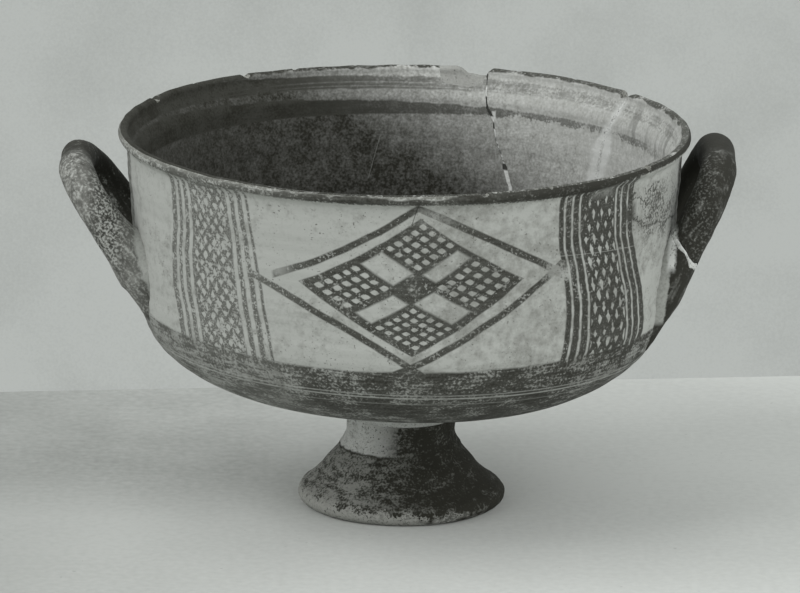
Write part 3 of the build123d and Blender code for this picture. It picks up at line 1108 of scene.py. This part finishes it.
@dataclass(frozen=True)
class Bowl:
    """The thrown bowl with its everted lip, and the sherds and fills that it is mended from.

    The pulls give the lip's flare its curve: outside below and above, inside above and below. Cracks,
    fills and edges of sherds are angles in degrees and drops, and a chip is its angle, half width and
    depth.
    """

    rim: float = RIM_RADIUS
    lip_thickness: float = 3.4
    lip_drop: float = 6.0
    wall_top: float = 97.3
    belly: float = 93.3
    belly_drop: float = 57.0
    wall: float = 4.6
    bottom: float = 35.9
    floor: float = 42.3
    neck: float = 19.0
    under_slope: float = 11.0
    belly_share: float = 0.65
    under_share: float = 0.63
    pulls: tuple[float, float, float, float] = (5.2, 4.6, 8.0, 10.0)
    around: int = 600
    sharp: float = 36.0
    sunk: float = 0.1
    cut_level: float = 72.0
    crack_half: Places = (
        (0, 0.22), (12, 0.24), (14.5, 0.75), (17.0, 0.6), (18.5, 0.25), (22, 0.4), (26, 0.25), (32.5, 0.3),
        (34.5, 1.0), (41, 0.8), (58, 0.4),
    )
    wide_crack_half: Places = ((0, 0.35), (6, 0.6), (10, 1.1), (16, 1.25), (19, 0.9), (58, 1.4))
    chips: tuple[tuple[float, float, float], ...] = (
        (155.0, 1.5, 1.7), (126.0, 1.2, 1.2), (113.8, 1.1, 0.9), (140.0, 0.6, 0.5), (119.0, 0.7, 0.4),
        (-33.0, 1.2, 1.6), (-60.0, 0.5, 0.6), (-74.1, 1.2, 1.1), (100.5, 0.8, 0.6), (52.0, 0.9, 0.5),
        (12.0, 1.4, 0.9),
    )
    low_rim: Places = (
        (79.2, 0.0), (78.0, 1.0), (76.9, 2.6), (75.0, 3.0), (73.2, 3.1), (72.4, 2.9), (71.9, 1.2),
        (71.3, 0.3), (70.8, 0.0),
    )
    broken_end: Places = ((37.5, 0.0), (37.1, 2.4), (35.0, 1.7), (33.9, 0.5), (33.2, 0.0))
    fill: Places = (
        (82.7, 0.0), (82.5, 2.5), (82.3, 4.8), (81.1, 6.1), (78.3, 6.6), (76.0, 6.9), (74.5, 5.8),
        (72.9, 5.8), (72.6, 3.0), (72.6, 0.0),
    )
    crack: Places = (
        (72.4, 0.0), (72.0, 3.6), (71.9, 7.8), (71.2, 13.7), (70.6, 15.4), (69.8, 17.6), (69.5, 20.4),
        (69.1, 22.0), (68.8, 25.0), (66.8, 32.5), (66.2, 35.5), (65.5, 38.5), (64.8, 41.5), (63.3, 58.0),
    )
    wide_crack: Places = (
        (34.7, 0.0), (35.7, 4.3), (36.1, 6.7), (36.7, 10.2), (37.9, 13.4), (38.9, 15.7), (39.7, 21.0),
        (40.0, 25.5), (40.6, 30.0), (43.0, 58.0),
    )
    back_low: Places = ((49.5, 55.1), (55.0, 60.3))
    right_edge: Places = (
        (33.0, 22.6), (24.0, 23.3), (12.0, 22.5), (2.0, 24.5), (-9.0, 23.5), (-19.0, 24.5), (-28.5, 22.8),
        (-31.5, 14.7), (-34.2, 8.1), (-36.0, 0.0),
    )

    def outline(self) -> np.ndarray:
        """Radii and levels round the wall, from the bottom's middle over the rim to the floor's middle.

        Returns:
            The outline's points.
        """
        lip = self.lip_thickness / 2
        level = HEIGHT - lip
        belly = np.array([self.belly, HEIGHT - self.belly_drop])
        top = np.array([self.wall_top, HEIGHT - self.lip_drop])
        inner_top = np.array([self.wall_top - self.wall, HEIGHT - 2 * self.lip_drop])
        inner_belly = belly - (self.wall, 0)
        under = self.underside(belly, top, np.array([self.neck, self.bottom]), self.under_slope, 90)
        inner_under = self.underside(inner_belly, inner_top, np.array([0.0, self.floor]), 0.0, 96)
        leave, arrive, inner_leave, inner_arrive = self.pulls
        climb = self.belly_drop - self.lip_drop
        rise = (top - belly) / climb * leave
        fall = (inner_belly - inner_top) / (climb - self.lip_drop) * inner_arrive
        flare = self.hermite(top, np.array([self.rim, level]), rise, np.array([0.0, arrive]), 9)
        turn = np.linspace(0, pi, 11)
        arc = np.stack([self.rim - lip + lip * np.cos(turn), level + lip * np.sin(turn)], axis=1)
        inner_lip = np.array([self.rim - self.lip_thickness, level])
        inner_flare = self.hermite(inner_lip, inner_top, np.array([0.0, -inner_leave]), fall, 13)
        base = np.array([[0.0, self.bottom], [9.0, self.bottom]])
        wall = belly + (top - belly) * np.linspace(0, 1, 46)[:, None]
        inner_wall = inner_top + (inner_belly - inner_top) * np.linspace(0, 1, 40)[:, None]
        outer = [base, under[::-1], wall[1:], flare[1:], arc[1:]]
        return np.vstack(outer + [inner_flare[1:], inner_wall[1:], inner_under[1:]])

    def underside(
        self, start: np.ndarray, above: np.ndarray, end: np.ndarray, slope: float, count: int,
    ) -> np.ndarray:
        """Rounded stretch that leaves the belly in the wall's line and ends at a slope.

        Args:
            start: Belly.
            above: Point of the wall above it.
            end: Where it ends.
            slope: Its slope there in degrees.
            count: Number of points.

        Returns:
            The stretch's points.
        """
        along = (start - above) / np.linalg.norm(start - above)
        arrive = np.array([cos(radians(slope)), sin(radians(slope))])
        second = start + along * (start[1] - end[1]) * self.belly_share
        third = end + arrive * (start[0] - end[0]) * self.under_share
        share = np.linspace(0, 1, count)[:, None]
        rest = 1 - share
        return rest**3 * start + 3 * rest**2 * share * second + 3 * rest * share**2 * third + share**3 * end

    @staticmethod
    def hermite(
        start: np.ndarray, end: np.ndarray, leave: np.ndarray, arrive: np.ndarray, count: int,
    ) -> np.ndarray:
        """Curve between two points with given directions at its ends.

        Args:
            start: First point.
            end: Last point.
            leave: Direction and pull at the first point.
            arrive: The same at the last point.
            count: Number of points.

        Returns:
            The curve's points.
        """
        share = np.linspace(0, 1, count)[:, None]
        square, cube = share**2, share**3
        return (
            (2 * cube - 3 * square + 1) * start + (cube - 2 * square + share) * leave
            + (3 * square - 2 * cube) * end + (cube - square) * arrive
        )

    def thrown(self, spots: np.ndarray) -> np.ndarray:
        """Gives the even form a potter's unevenness and the slight sag of the real bowl.

        Args:
            spots: Vertices in millimetres.

        Returns:
            The moved vertices.
        """
        radius, angle, level = polar(spots)
        steady = smooth(30.0, 60.0, radius)
        fine_rings = 0.07 * np.sin(level / 0.62 + 1.6 * np.sin(level / 5.0))
        rings = fine_rings + 0.12 * np.sin(level / 2.3 + 0.4 * np.sin(angle))
        change = steady * (0.22 * drift(angle, level, 3, 4, 30.0) + rings)
        near_rim = smooth(HEIGHT - 5.0, HEIGHT - 0.5, level)
        change += near_rim * 0.1 * drift(angle, level, 8, 70, 3.0)
        made = moved_out(spots, change)
        flat = level * 0
        wavy = 0.3 * drift(angle, flat, 5, 5, 50.0) + 0.14 * drift(angle, flat, 6, 60, 50.0)
        made[:, 2] += near_rim * wavy
        low = smooth(84.0, 44.0, level) * smooth(15.0, 60.0, radius)
        made[:, 2] -= 1.5 * low * smooth(-20.0, 60.0, made[:, 0])
        return made

    def build(
        self, finishes: list[Material], plaster: Material, seam_finish: Material, patch: Material,
    ) -> list[Piece]:
        """Builds the bowl and cuts it into its sherds and fills.

        Args:
            finishes: Materials of the outside, the inside and broken faces.
            plaster: Material of the wide seam.
            seam_finish: Material of the narrow seam.
            patch: Material of the fill in the rim.

        Returns:
            The pieces.
        """
        spots, faces = turned(self.outline(), self.around)
        bowl = make_piece("bowl_wall", self.thrown(spots), faces)
        cut_away(bowl, self.lip_cutter("low_rim", list(self.low_rim), 0.3, 1.0))
        cut_away(bowl, self.lip_cutter("broken_end", list(self.broken_end), 0.25, 17.0))
        for index, (angle, half, depth) in enumerate(self.chips):
            bottom = [(angle + half * 0.35, depth * 0.9), (angle - half * 0.2, depth)]
            notch = [(angle + half, 0.0), *bottom, (angle - half, 0.0)]
            cut_away(bowl, self.lip_cutter(f"chip_{index}", notch, 0.3, index + 2.0))
        rim_patch = part_off(bowl, self.lip_cutter("patch", list(self.fill), 0.35, 21.0), "rim_patch")
        seam = part_off(bowl, self.crack_cutter("seam", self.crack, self.crack_half, 31.0), "crack_fill")
        wide_cutter = self.crack_cutter("wide_seam", self.wide_crack, self.wide_crack_half, 37.0)
        wide_seam = part_off(bowl, wide_cutter, "wide_crack_fill")
        back = list(self.wide_crack + self.back_low + self.crack[::-1])
        back_sherd = part_off(bowl, self.lip_cutter("back", back, 0.3, 41.0), "back_sherd")
        right = list(self.wide_crack[:7] + self.right_edge)
        right_sherd = part_off(bowl, self.lip_cutter("right", right, 0.4, 47.0), "right_sherd")
        sherds, fills = [bowl, back_sherd, right_sherd], [seam, wide_seam, rim_patch]
        for piece in sherds:
            self.dress(piece, finishes)
        self.sink(seam, self.sunk)
        for piece, finish in zip(fills, (seam_finish, plaster, patch)):
            coat(piece, finish)
        for piece in sherds + fills:
            piece.data.set_sharp_from_angle(angle=radians(self.sharp))
        return sherds + fills

    @staticmethod
    def lip_cutter(name: str, line: Line, amount: float, seed: float) -> Piece:
        """Cutter of all that lies above a line that starts and ends at the rim."""
        uneven = jagged(line, 0.8, amount, seed)
        return wedge(name, uneven + [(uneven[-1][0], ABOVE_RIM), (uneven[0][0], ABOVE_RIM)])

    def crack_cutter(self, name: str, line: Places, half: Places, seed: float) -> Piece:
        """Cutter along a crack whose half width changes with the drop.

        Args:
            name: The cutter's name.
            line: The crack's places.
            half: Drops and half widths in millimetres.
            seed: Seed of its unevenness.

        Returns:
            The cutter.
        """
        long = list(line) + [(line[-1][0], line[-1][1] + 1.5)]
        drops, widths = zip(*half)
        sides = []
        for sign in (-1, 1):
            side = []
            for angle, drop in jagged(long, 0.9, 0.28, seed + sign):
                side.append((angle + sign * degrees(np.interp(drop, drops, widths) / self.rim), drop))
            sides.append([(side[0][0], ABOVE_RIM)] + side)
        return wedge(name, sides[0] + sides[1][::-1])

    def sink(self, piece: Piece, share: float) -> None:
        """Draws a fill in from both faces of the wall by a share of its thickness.

        Args:
            piece: The fill.
            share: The share.
        """
        spots = np.array([v.co for v in piece.data.vertices])
        radius = np.hypot(spots[:, 0], spots[:, 1])
        belly_level, slope, half_wall = HEIGHT - self.belly_drop, 0.078, 1.8
        outer = self.belly - 0.6 + (spots[:, 2] / MM - belly_level) * slope
        middle = (outer - half_wall) * MM
        scale = 1 - (radius - middle) * share / radius
        spots[:, 0] *= scale
        spots[:, 1] *= scale
        piece.data.vertices.foreach_set("co", spots.ravel())
        piece.data.update()

    def dress(self, piece: Piece, finishes: list[Material]) -> None:
        """Gives each face of the wall the finish of its side, and the cut faces that of broken clay.

        Args:
            piece: Piece of the wall.
            finishes: Materials of the outside, the inside and broken faces.
        """
        mesh = piece.data
        mesh.materials.clear()
        for finish in finishes:
            mesh.materials.append(finish)
        count = len(mesh.polygons)
        normals, centres = np.zeros(count * 3), np.zeros(count * 3)
        mesh.polygons.foreach_get("normal", normals)
        mesh.polygons.foreach_get("center", centres)
        normals, centres = normals.reshape(-1, 3), centres.reshape(-1, 3) / MM
        radius = np.maximum(np.hypot(centres[:, 0], centres[:, 1]), 0.01)
        outward = (normals[:, 0] * centres[:, 0] + normals[:, 1] * centres[:, 1]) / radius
        skins = np.where(outward - normals[:, 2] > 0, Skin.OUTSIDE.value, Skin.INSIDE.value)
        upper = centres[:, 2] > self.cut_level
        cut = (np.abs(outward) < 0.42) & upper & (centres[:, 2] < HEIGHT - 1.0)
        side = np.abs(normals[:, 0] * centres[:, 1] - normals[:, 1] * centres[:, 0]) / radius
        cut |= (side > 0.6) & upper
        skins[cut] = Skin.BROKEN.value
        mesh.polygons.foreach_set("material_index", skins.astype(np.int32))
        mesh.polygons.foreach_set("use_smooth", ~cut)
        mesh.update()


@dataclass(frozen=True)
class Foot:
    """Flared foot, hollow underneath, and the ring of clay that joins it to the bowl."""

    radius: float = 36.4
    edge_height: float = 6.6
    shoulder: float = 34.8
    sweep: float = 25.8
    sweep_height: float = 15.0
    neck: float = 19.0
    join: float = 35.9
    ring_outer: float = 33.6
    ring_inner: float = 25.0
    slope: float = 29.0
    edge_round: float = 4.0
    edge_middle: float = 3.4
    edge_half: float = 3.6
    neck_length: float = 9.5
    lift: float = 1.0
    hollow: float = 17.5
    ridge: float = 21.2
    ring_line: Places = (
        (18.4, -4.4), (19.2, -4.3), (20.1, -3.5), (21.6, -2.1), (23.4, -0.9), (24.6, -0.2), (24.9, 0.9),
        (18.4, 1.4),
    )

    def build(self, paint: Material, clay: Material) -> list[Piece]:
        """Builds the foot and its ring.

        Args:
            paint: Finish of the foot.
            clay: Finish of the ring.

        Returns:
            The two pieces.
        """
        slope, top_level = radians(self.slope), self.join + self.lift
        shoulder = np.array([self.shoulder, self.edge_height])
        sweep = np.array([self.sweep, self.sweep_height])
        neck = np.array([self.neck, self.join - self.neck_length])
        chord = neck - shoulder
        bend = chord / np.linalg.norm(chord) * 11.0
        first = Bowl.hermite(shoulder, sweep, np.array([-cos(slope), sin(slope)]) * 12.0, bend, 22)
        second = Bowl.hermite(sweep, neck, bend, np.array([0.0, 12.0]), 24)
        turn = np.linspace(-1.05, 0.72, 14)
        out = self.radius - self.edge_round + self.edge_round * np.cos(turn)
        edge = np.stack([out, self.edge_middle + self.edge_half * np.sin(turn)], axis=1)
        up = np.stack([np.full(12, self.neck), np.linspace(self.join - 9.0, top_level, 12)], axis=1)
        share = np.linspace(0, 1, 20)[:, None]
        middle, inner = np.array([0.0, self.hollow]), np.array([self.ring_inner, 0.0])
        hollow = Bowl.hermite(middle, inner, np.array([26.0, 0.0]), np.array([20.0, -16.0]), 26)
        stand = inner + share[1:] * np.array([self.ring_outer - self.ring_inner, 0.0])
        top = [[8.0, top_level], [0.0, top_level]]
        outline = np.vstack([hollow, stand, edge[1:], first, second[1:], up[1:], top])
        spots, faces = turned(outline, 300)
        foot = make_piece("foot_turned", self.worn(spots), faces)
        coat(foot, paint)
        return [foot, self.ring(np.array(self.ring_line) + (0.0, self.join), clay)]

    def worn(self, spots: np.ndarray) -> np.ndarray:
        """Roughens the foot, ridges its neck and shifts it a little, as the real one sits.

        Args:
            spots: Vertices in millimetres.

        Returns:
            The moved vertices.
        """
        radius, angle, level = polar(spots)
        outside = (radius > 18.0) & (level > 0.4)
        ridge = np.exp(-(((level - self.ridge) / 0.9) ** 2)) * 0.35
        ridge *= 0.5 + 0.5 * drift(angle, level * 0, 12, 3, 9.0)
        rings = 0.1 * np.sin(level / 1.1 + 0.5 * np.sin(angle)) * smooth(4.0, 9.0, level)
        uneven = 0.22 * drift(angle, level, 13, 6, 8.0) + 0.1 * drift(angle, level, 14, 50, 2.0)
        made = moved_out(spots, outside * (uneven + ridge + rings))
        made[:, 0] -= 0.7 * smooth(3.0, 14.0, level) * smooth(36.0, 24.0, level)
        return made

    def ring(self, line: np.ndarray, clay: Material) -> Piece:
        """Turns the luting ring.

        Args:
            line: Closed outline of radii and levels.
            clay: Its finish.

        Returns:
            The ring.
        """
        around, count = 200, len(line)
        spots, faces = [], []
        for step in range(around):
            angle = 2 * pi * step / around
            for index, (radius, level) in enumerate(line):
                spot = Vector((cos(angle) * 20, sin(angle) * 20, index * 2.0))
                stray = 0.18 * roughness_at(spot, 6.0, 5.0)
                out = radius + stray
                spots.append((out * cos(angle), out * sin(angle), level + stray * 0.6))
        for step in range(around):
            here, after = step * count, (step + 1) % around * count
            for index in range(count):
                up = (index + 1) % count
                faces.append((here + index, after + index, after + up, here + up))
        ring = make_piece("luting_ring_turned", np.array(spots), faces)
        coat(ring, clay)
        return ring


@dataclass(frozen=True)
class Handle:
    """Loop of clay rod that is tipped outwards, with roots that swell into the wall."""

    name: str
    side: int
    rod: float
    spread: float
    crown_reach: float
    crown_drop: float
    root_reach: float
    root_drop: float
    corner: float
    swell: float
    tail_radius: float
    swell_length: float = 26.0
    tail: float = 24.0
    flare: float = 0.12
    flare_fade: float = 1.6
    flare_end: float = 9.0
    around: int = 40
    bend: float = 0.0
    seed: float = 1.0
    wall_drops: tuple[float, ...] = (0.0, 6.0, 57.0, 64.0, 70.0, 78.0, 86.0)
    wall_radii: tuple[float, ...] = (99.0, 97.3, 93.3, 91.9, 89.9, 84.6, 75.0)

    def path(self) -> np.ndarray:
        """Centre line from inside the front root, over the crown, to inside the back root.

        Returns:
            Its points in millimetres.
        """
        down = np.array([self.root_reach - self.crown_reach, 0.0, self.crown_drop - self.root_drop])
        leg = np.linalg.norm(down)
        down = down / leg
        half = self.spread / 2
        turn = np.linspace(0, pi / 2, 16)
        length, bent = leg + self.tail, -half + self.corner
        flat = [(-half, length - step) for step in np.arange(0.0, length - self.corner, 1.2)]
        flat += [(-half + self.corner * (1 - cos(t)), self.corner * (1 - sin(t))) for t in turn]
        flat += [(across, 0.0) for across in np.linspace(bent, half - self.corner, 10)[1:-1]]
        both = flat + [(-across, along) for across, along in flat[::-1] if across < bent + 0.01]
        crown = np.array([self.crown_reach, 0.0, HEIGHT - self.crown_drop])
        points = []
        for across, along in both:
            past = max(along - leg, 0.0)
            bend = min(past / 12.0, 1.0) * self.bend * past
            points.append(crown + down * (along - bend) + np.array([0.0, across, -bend]))
        made = np.array(points)
        made[:, 0] *= self.side
        return made

    def radii(self) -> tuple[float, ...]:
        """Radii of the rod where its swelling starts, half way, at the wall and at the tail's end."""
        half = self.rod / 2
        return (half, half + self.swell * 0.45, half + self.swell, self.tail_radius)

    def build(self) -> Piece:
        """Builds the loop and cuts its roots off at the wall.

        Returns:
            The loop, without a finish.
        """
        path = self.path()
        out, fall = self.crown_reach - self.root_reach, self.root_drop - self.crown_drop
        leg = sqrt(out**2 + fall**2)
        steps = np.gradient(path, axis=0)
        steps /= np.linalg.norm(steps, axis=1)[:, None]
        plane = np.array([-self.side * fall, 0.0, out])
        plane /= np.linalg.norm(plane)
        lengths = (leg - self.swell_length, leg - self.swell_length / 2, leg, leg + self.tail)
        around = self.around
        spots = []
        for point, step in zip(path, steps):
            sideways = np.cross(plane, step)
            sideways /= np.linalg.norm(sideways)
            along = (HEIGHT - self.crown_drop - point[2]) / fall * leg
            radius = np.interp(along, lengths, self.radii())
            for index in range(around):
                angle = 2 * pi * index / around
                spot = point + radius * (cos(angle) * plane + sin(angle) * sideways)
                gap = float(np.hypot(spot[0], spot[1])) - self.wall_radius(HEIGHT - spot[2])
                wider = 1 + self.flare * float(np.exp(-max(gap, 0.0) / self.flare_fade))
                spot = point + (spot - point) * (wider if gap < self.flare_end else 1.0)
                stray = 0.42 * roughness_at(spot, 16.0, self.seed)
                stray += 0.12 * roughness_at(spot, 3.0, self.seed)
                spots.append(spot + (spot - point) / radius * stray)
        faces = hoops(len(path), around)
        faces.append(tuple(range(around))[::-1])
        faces.append(tuple((len(path) - 1) * around + index for index in range(around)))
        loop = closed(make_piece(self.name, np.array(spots), faces))
        cut_away(loop, self.core())
        loop.data.shade_smooth()
        return loop

    def wall_radius(self, drop: float) -> float:
        """Radius of the bowl's outer face at a drop."""
        return float(np.interp(drop, self.wall_drops, self.wall_radii))

    @staticmethod
    def core() -> Piece:
        """Makes a solid bowl, a little inside the wall's outer face, that the roots end on.

        Returns:
            The cutter.
        """
        bowl = Bowl()
        outline = bowl.outline()
        outer = outline[: int(np.argmax(outline[:, 1]))].copy()
        outer[:, 0] = np.maximum(outer[:, 0] - 0.7, 0.0)
        outer[:, 1] += 0.5 * (outer[:, 1] < 60.0)
        outer = outer[outer[:, 1] < HEIGHT - 1.0]
        spots, faces = turned(np.vstack([outer, [[0.0, outer[-1, 1]]]]), 300)
        return make_piece("handle_core", bowl.thrown(spots), faces)


@dataclass(frozen=True)
class HandleBreak:
    """Slanting break through a handle's front leg."""

    centre: tuple[float, float, float] = (97.3, -25.0, 98.6)
    slope: float = 34.0
    gap: float = 1.6
    half_width: float = 19.0
    half_length: float = 48.0
    count: int = 34

    def slab(self, name: str, low: float, high: float, seed: float) -> Piece:
        """Slab across the leg with a rough upper face.

        Args:
            name: The cutter's name.
            low: Level of its lower face along the break's normal.
            high: Level of its upper face.
            seed: Seed of its roughness.

        Returns:
            The cutter.
        """
        count, row_size = self.count, self.count + 1
        normal = Vector((cos(radians(self.slope)), 0.0, sin(radians(self.slope))))
        across = Vector((0.0, 1.0, 0.0))
        along = normal.cross(across)
        centre = Vector(self.centre)
        spots, faces = [], []
        for level, rough in ((low, 0.0), (high, 1.0)):
            for row in range(row_size):
                for column in range(row_size):
                    u = (column / count - 0.5) * 2 * self.half_width
                    v = (row / count - 0.5) * 2 * self.half_length
                    bumps = 1.5 * roughness_at(Vector((u, v * 0.8, 0.0)), 4.5, seed) * rough
                    spots.append(centre + across * u + along * v + normal * (level + bumps))
        side = row_size**2
        for row in range(count):
            for column in range(count):
                first = row * row_size + column
                quad = (first, first + 1, first + row_size + 1, first + row_size)
                faces.append(quad[::-1])
                faces.append(tuple(v + side for v in quad))
        rim = list(range(row_size)) + [row * row_size + count for row in range(1, row_size)]
        rim += [count * row_size + column for column in range(count - 1, -1, -1)]
        rim += [row * row_size for row in range(count - 1, 0, -1)]
        for first, second in zip(rim, rim[1:] + rim[:1]):
            faces.append((first, second, second + side, first + side))
        return closed(make_piece(name, np.array([tuple(spot) for spot in spots]), faces))

    def split(self, loop: Piece, broken: Material, plaster: Material) -> list[Piece]:
        """Parts the stub and the plaster off a loop.

        Args:
            loop: The whole loop.
            broken: Finish of its broken faces.
            plaster: Finish of the plaster.

        Returns:
            The stub and the plaster.
        """
        stub = part_off(loop, self.slab("below", -60.0, -self.gap / 2, 3.0), "handle_stub")
        fill = part_off(loop, self.slab("gap", -self.gap / 2 - 3.0, self.gap / 2, 9.0), "break_plaster")
        coat(fill, plaster)
        for piece in (loop, stub):
            piece.data.materials[1] = broken
        return [stub, fill]


@dataclass(frozen=True)
class Studio:
    """Table, backdrop, lamps and the camera."""

    elevation: float = 14.84
    roll: float = 0.55
    distance: float = 2464.0
    scale: float = 2.84
    axis_column: float = 403.3
    axis_row: float = 314.2
    width: float = 800.0
    height: float = 593.0
    sensor: float = 36.0
    table_back: float = 152.0
    table_slant: float = 155.0
    table_half: float = 1400.0
    table_front: float = -1500.0
    backdrop_half: float = 6500.0
    backdrop_place: float = 5600.0
    backdrop_levels: tuple[float, float] = (-4500.0, 3000.0)
    room_light: tuple[float, float, float, float] = (0.62, 0.64, 0.63, 1.0)
    room_strength: float = 1.06
    aim: float = 0.07
    lamps: tuple[tuple[str, tuple[float, float, float], float, float], ...] = (
        ("key", (-1.4, -0.6, 1.4), 1.6, 20.0), ("fill", (1.6, -1.4, 1.2), 2.2, 25.0),
    )

    def camera(self) -> None:
        """Stands the camera where the picture was taken from."""
        lift, tip = radians(self.elevation), radians(self.roll)
        right, up = Vector((1, 0, 0)), Vector((0, sin(lift), cos(lift)))
        ahead = Vector((0, cos(lift), -sin(lift)))
        off_x = (self.axis_column - self.width / 2) / self.scale
        off_y = (self.height / 2 - self.axis_row) / self.scale
        place = Vector((0, 0, HEIGHT / 2)) - right * off_x - up * off_y - ahead * self.distance
        side = right * cos(tip) + up * sin(tip)
        top = up * cos(tip) - right * sin(tip)
        data = bpy.data.cameras.new("camera")
        data.sensor_width = self.sensor
        data.lens = self.scale * self.distance / self.width * self.sensor
        data.clip_end = 30.0
        camera = bpy.data.objects.new("camera", data)
        bpy.context.scene.collection.objects.link(camera)
        turn = Matrix((side, top, -ahead)).transposed().to_4x4()
        camera.matrix_world = Matrix.Translation(place * MM) @ turn
        bpy.context.scene.camera = camera

    def lamp(self, name: str, place: tuple, size: float, power: float) -> None:
        """Adds a soft lamp that looks at the cup.

        Args:
            name: Its name.
            place: Where it stands, in metres.
            size: Its width in metres.
            power: Its power in watts.
        """
        data = bpy.data.lights.new(name, "AREA")
        data.size = size
        data.energy = power
        lamp = bpy.data.objects.new(name, data)
        lamp.location = place
        lamp.rotation_euler = (Vector((0, 0, self.aim)) - Vector(place)).to_track_quat("-Z", "Y").to_euler()
        bpy.context.scene.collection.objects.link(lamp)

    def sheet(self, name: str, corners: list, light: Tone, dark: Tone, dark_patch_painted_shade_and_light: bool = False) -> None:
        """Adds a plain mottled sheet of table or backdrop.

        Args:
            name: Its name.
            corners: Its four corners in millimetres.
            light: Its colour.
            dark: Colour of its mottling.
            dark_patch_painted_shade_and_light: Whether a darker mottled patch lies behind the cup on the
                left, with painted shade towards the front left and painted light towards the back and the
                right.
        """
        piece = make_piece(name, np.array(corners), [(0, 1, 2, 3)])
        tree = Tree(name)
        broad = tree.grain(140.0, 2.0)
        fine = tree.grain(3.0, 3.0)
        dull = (broad * 0.6 + fine * 0.4).over(0.55, 0.25) * 0.25
        if dark_patch_painted_shade_and_light:
            mottle = tree.grain(26.0, 4.0, shift=5.0)
            # A darker mottled patch behind the cup on the left
            dark_patch = tree.x.under(-25.0, 70.0) * tree.y.over(2.0 + mottle.stray(30.0), 60.0)
            specks = tree.grain(2.4, 1.0, shift=9.0).over(0.74, 0.04) * mottle.over(0.55, 0.1) * 0.5
            dull = (dull + dark_patch * (0.42 + mottle.stray(0.45) + fine.stray(0.25))) | specks * 0.9
            # Painted shade: darker towards the front left, where the key lamp falls strongest
            dull = dull + tree.x.under(-60.0, 160.0) * tree.y.under(0.0, 160.0) * 0.5
            # Painted light: paler towards the back and the right, lifting the cup's shadow there
            pale = tree.y.over(-330.0, 260.0) * tree.x.over(-160.0, 120.0)
            light = tree.blend(light, Tone.TABLE_PAINTED_LIGHT, pale * 0.8)
        colour = tree.blend(light, dark, dull.clamped())
        piece.data.materials.append(tree.finish(colour, fine, 0.05, rough=0.95, gloss=0.1))

    def build(self) -> None:
        """Builds the whole studio."""
        self.camera()
        half, front = self.table_half, self.table_front
        ends = (self.table_back + self.table_slant, self.table_back - self.table_slant)
        table = [(-half, front, 0), (half, front, 0), (half, ends[0], 0), (-half, ends[1], 0)]
        self.sheet("table", table, Tone.TABLE, Tone.TABLE_DARK, dark_patch_painted_shade_and_light=True)
        half, place, (low, high) = self.backdrop_half, self.backdrop_place, self.backdrop_levels
        wall = [(-half, place, low), (half, place, low), (half, place, high), (-half, place, high)]
        self.sheet("backdrop", wall, Tone.BACKDROP, Tone.TABLE_DARK)
        for name, place, size, power in self.lamps:
            self.lamp(name, place, size, power)
        world = bpy.data.worlds.new("room")
        world.use_nodes = True
        inputs = world.node_tree.nodes["Background"].inputs
        inputs["Color"].default_value = self.room_light
        inputs["Strength"].default_value = self.room_strength
        bpy.context.scene.world = world
        bpy.context.scene.view_settings.view_transform = "Standard"


class Cup:
    """The whole cup: builds every piece and ties it to its solid."""

    def __init__(self) -> None:
        """Builds the finishes that the pieces share."""
        self.broken = PlainFinish("broken_clay", Tone.CLAY, Tone.CLAY_DARK, 0.5).material()
        self.plaster = PlainFinish("pale_plaster", Tone.PLASTER, Tone.PLASTER_GREY, 0.35, 0.7).material()
        self.patch = PlainFinish("rim_plaster", Tone.PATCH, Tone.PLASTER_GREY, 0.4, 0.72).material()
        self.seam = SeamFinish().material()
        # The luting ring is bare clay given a pale tone, partly painted light against the shade under the
        # bowl
        self.clay = PlainFinish("bare_clay_with_painted_light", Tone.BARE, Tone.SLIP, 0.3).material()

    def tie(self, piece: Piece, node: str) -> None:
        """Lets a piece ride on the cup and stand for its solid.

        Args:
            piece: The piece.
            node: Its solid's name.
        """
        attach(piece, "root")
        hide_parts(node)
        log.info("%s stands for %s with %d faces", piece.name, node, len(piece.data.polygons))

    def bowl(self) -> None:
        """Builds the bowl's pieces."""
        skins = [WallPaint().material(), InnerPaint().material(), self.broken]
        sherds = ("bowl_body", "rim_sherd_back", "rim_sherd_right")
        fills = ("seam_fill_back", "seam_fill_right", "rim_plaster_fill")
        slots = (Slot.PAINTED,) * 3 + (Slot.PLASTER,) * 3
        pieces = Bowl().build(skins, self.plaster, self.seam, self.patch)
        for piece, node, slot in zip(pieces, sherds + fills, slots):
            self.tie(piece, node)

    def foot(self) -> None:
        """Builds the foot and its ring."""
        foot, ring = Foot().build(FootPaint().material(), self.clay)
        self.tie(foot, "foot")
        self.tie(ring, "luting_ring")

    def handles(self) -> None:
        """Builds both handles and the right one's break."""
        left = Handle(
            "left_loop", side=-1, rod=12.2, spread=48.0, crown_reach=114.6, crown_drop=14.0,
            root_reach=90.9, root_drop=47.4, corner=18.0, swell=2.4, tail_radius=3.6, tail=20.0, bend=0.36,
            seed=2.0,
        ).build()
        left_paint = DarkPaint(
            "left_handle_paint", wear=1.0, haze_and_painted_light=0.75, flank=(84.5, 0.42, -0.004), lean=36.0,
        )
        coat(left, left_paint.material())
        self.tie(left, "handle_left")
        right = Handle(
            "right_loop", side=1, rod=12.8, spread=50.0, crown_reach=109.4, crown_drop=10.6,
            root_reach=89.9, root_drop=53.6, corner=13.5, swell=0.3, tail_radius=2.2, tail=20.0,
            flare=0.08, bend=0.15, seed=6.0,
        ).build()
        right_paint = DarkPaint(
            "right_handle_paint", wear=0.25, haze_and_painted_light=-0.05, flank=(90.6, 0.078, 0.0), lean=24.0, mended=True,
        )
        coat(right, right_paint.material())
        stub, fill = HandleBreak().split(right, self.broken, self.plaster)
        self.tie(right, "handle_right")
        self.tie(stub, "handle_right_stub")
        self.tie(fill, "handle_break_fill")


def main() -> None:
    """Loads the solids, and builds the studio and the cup."""
    logging.basicConfig(level=logging.INFO, format="%(message)s")
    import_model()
    Studio().build()
    cup = Cup()
    cup.bowl()
    cup.foot()
    cup.handles()


if __name__ == "__main__":
    main()
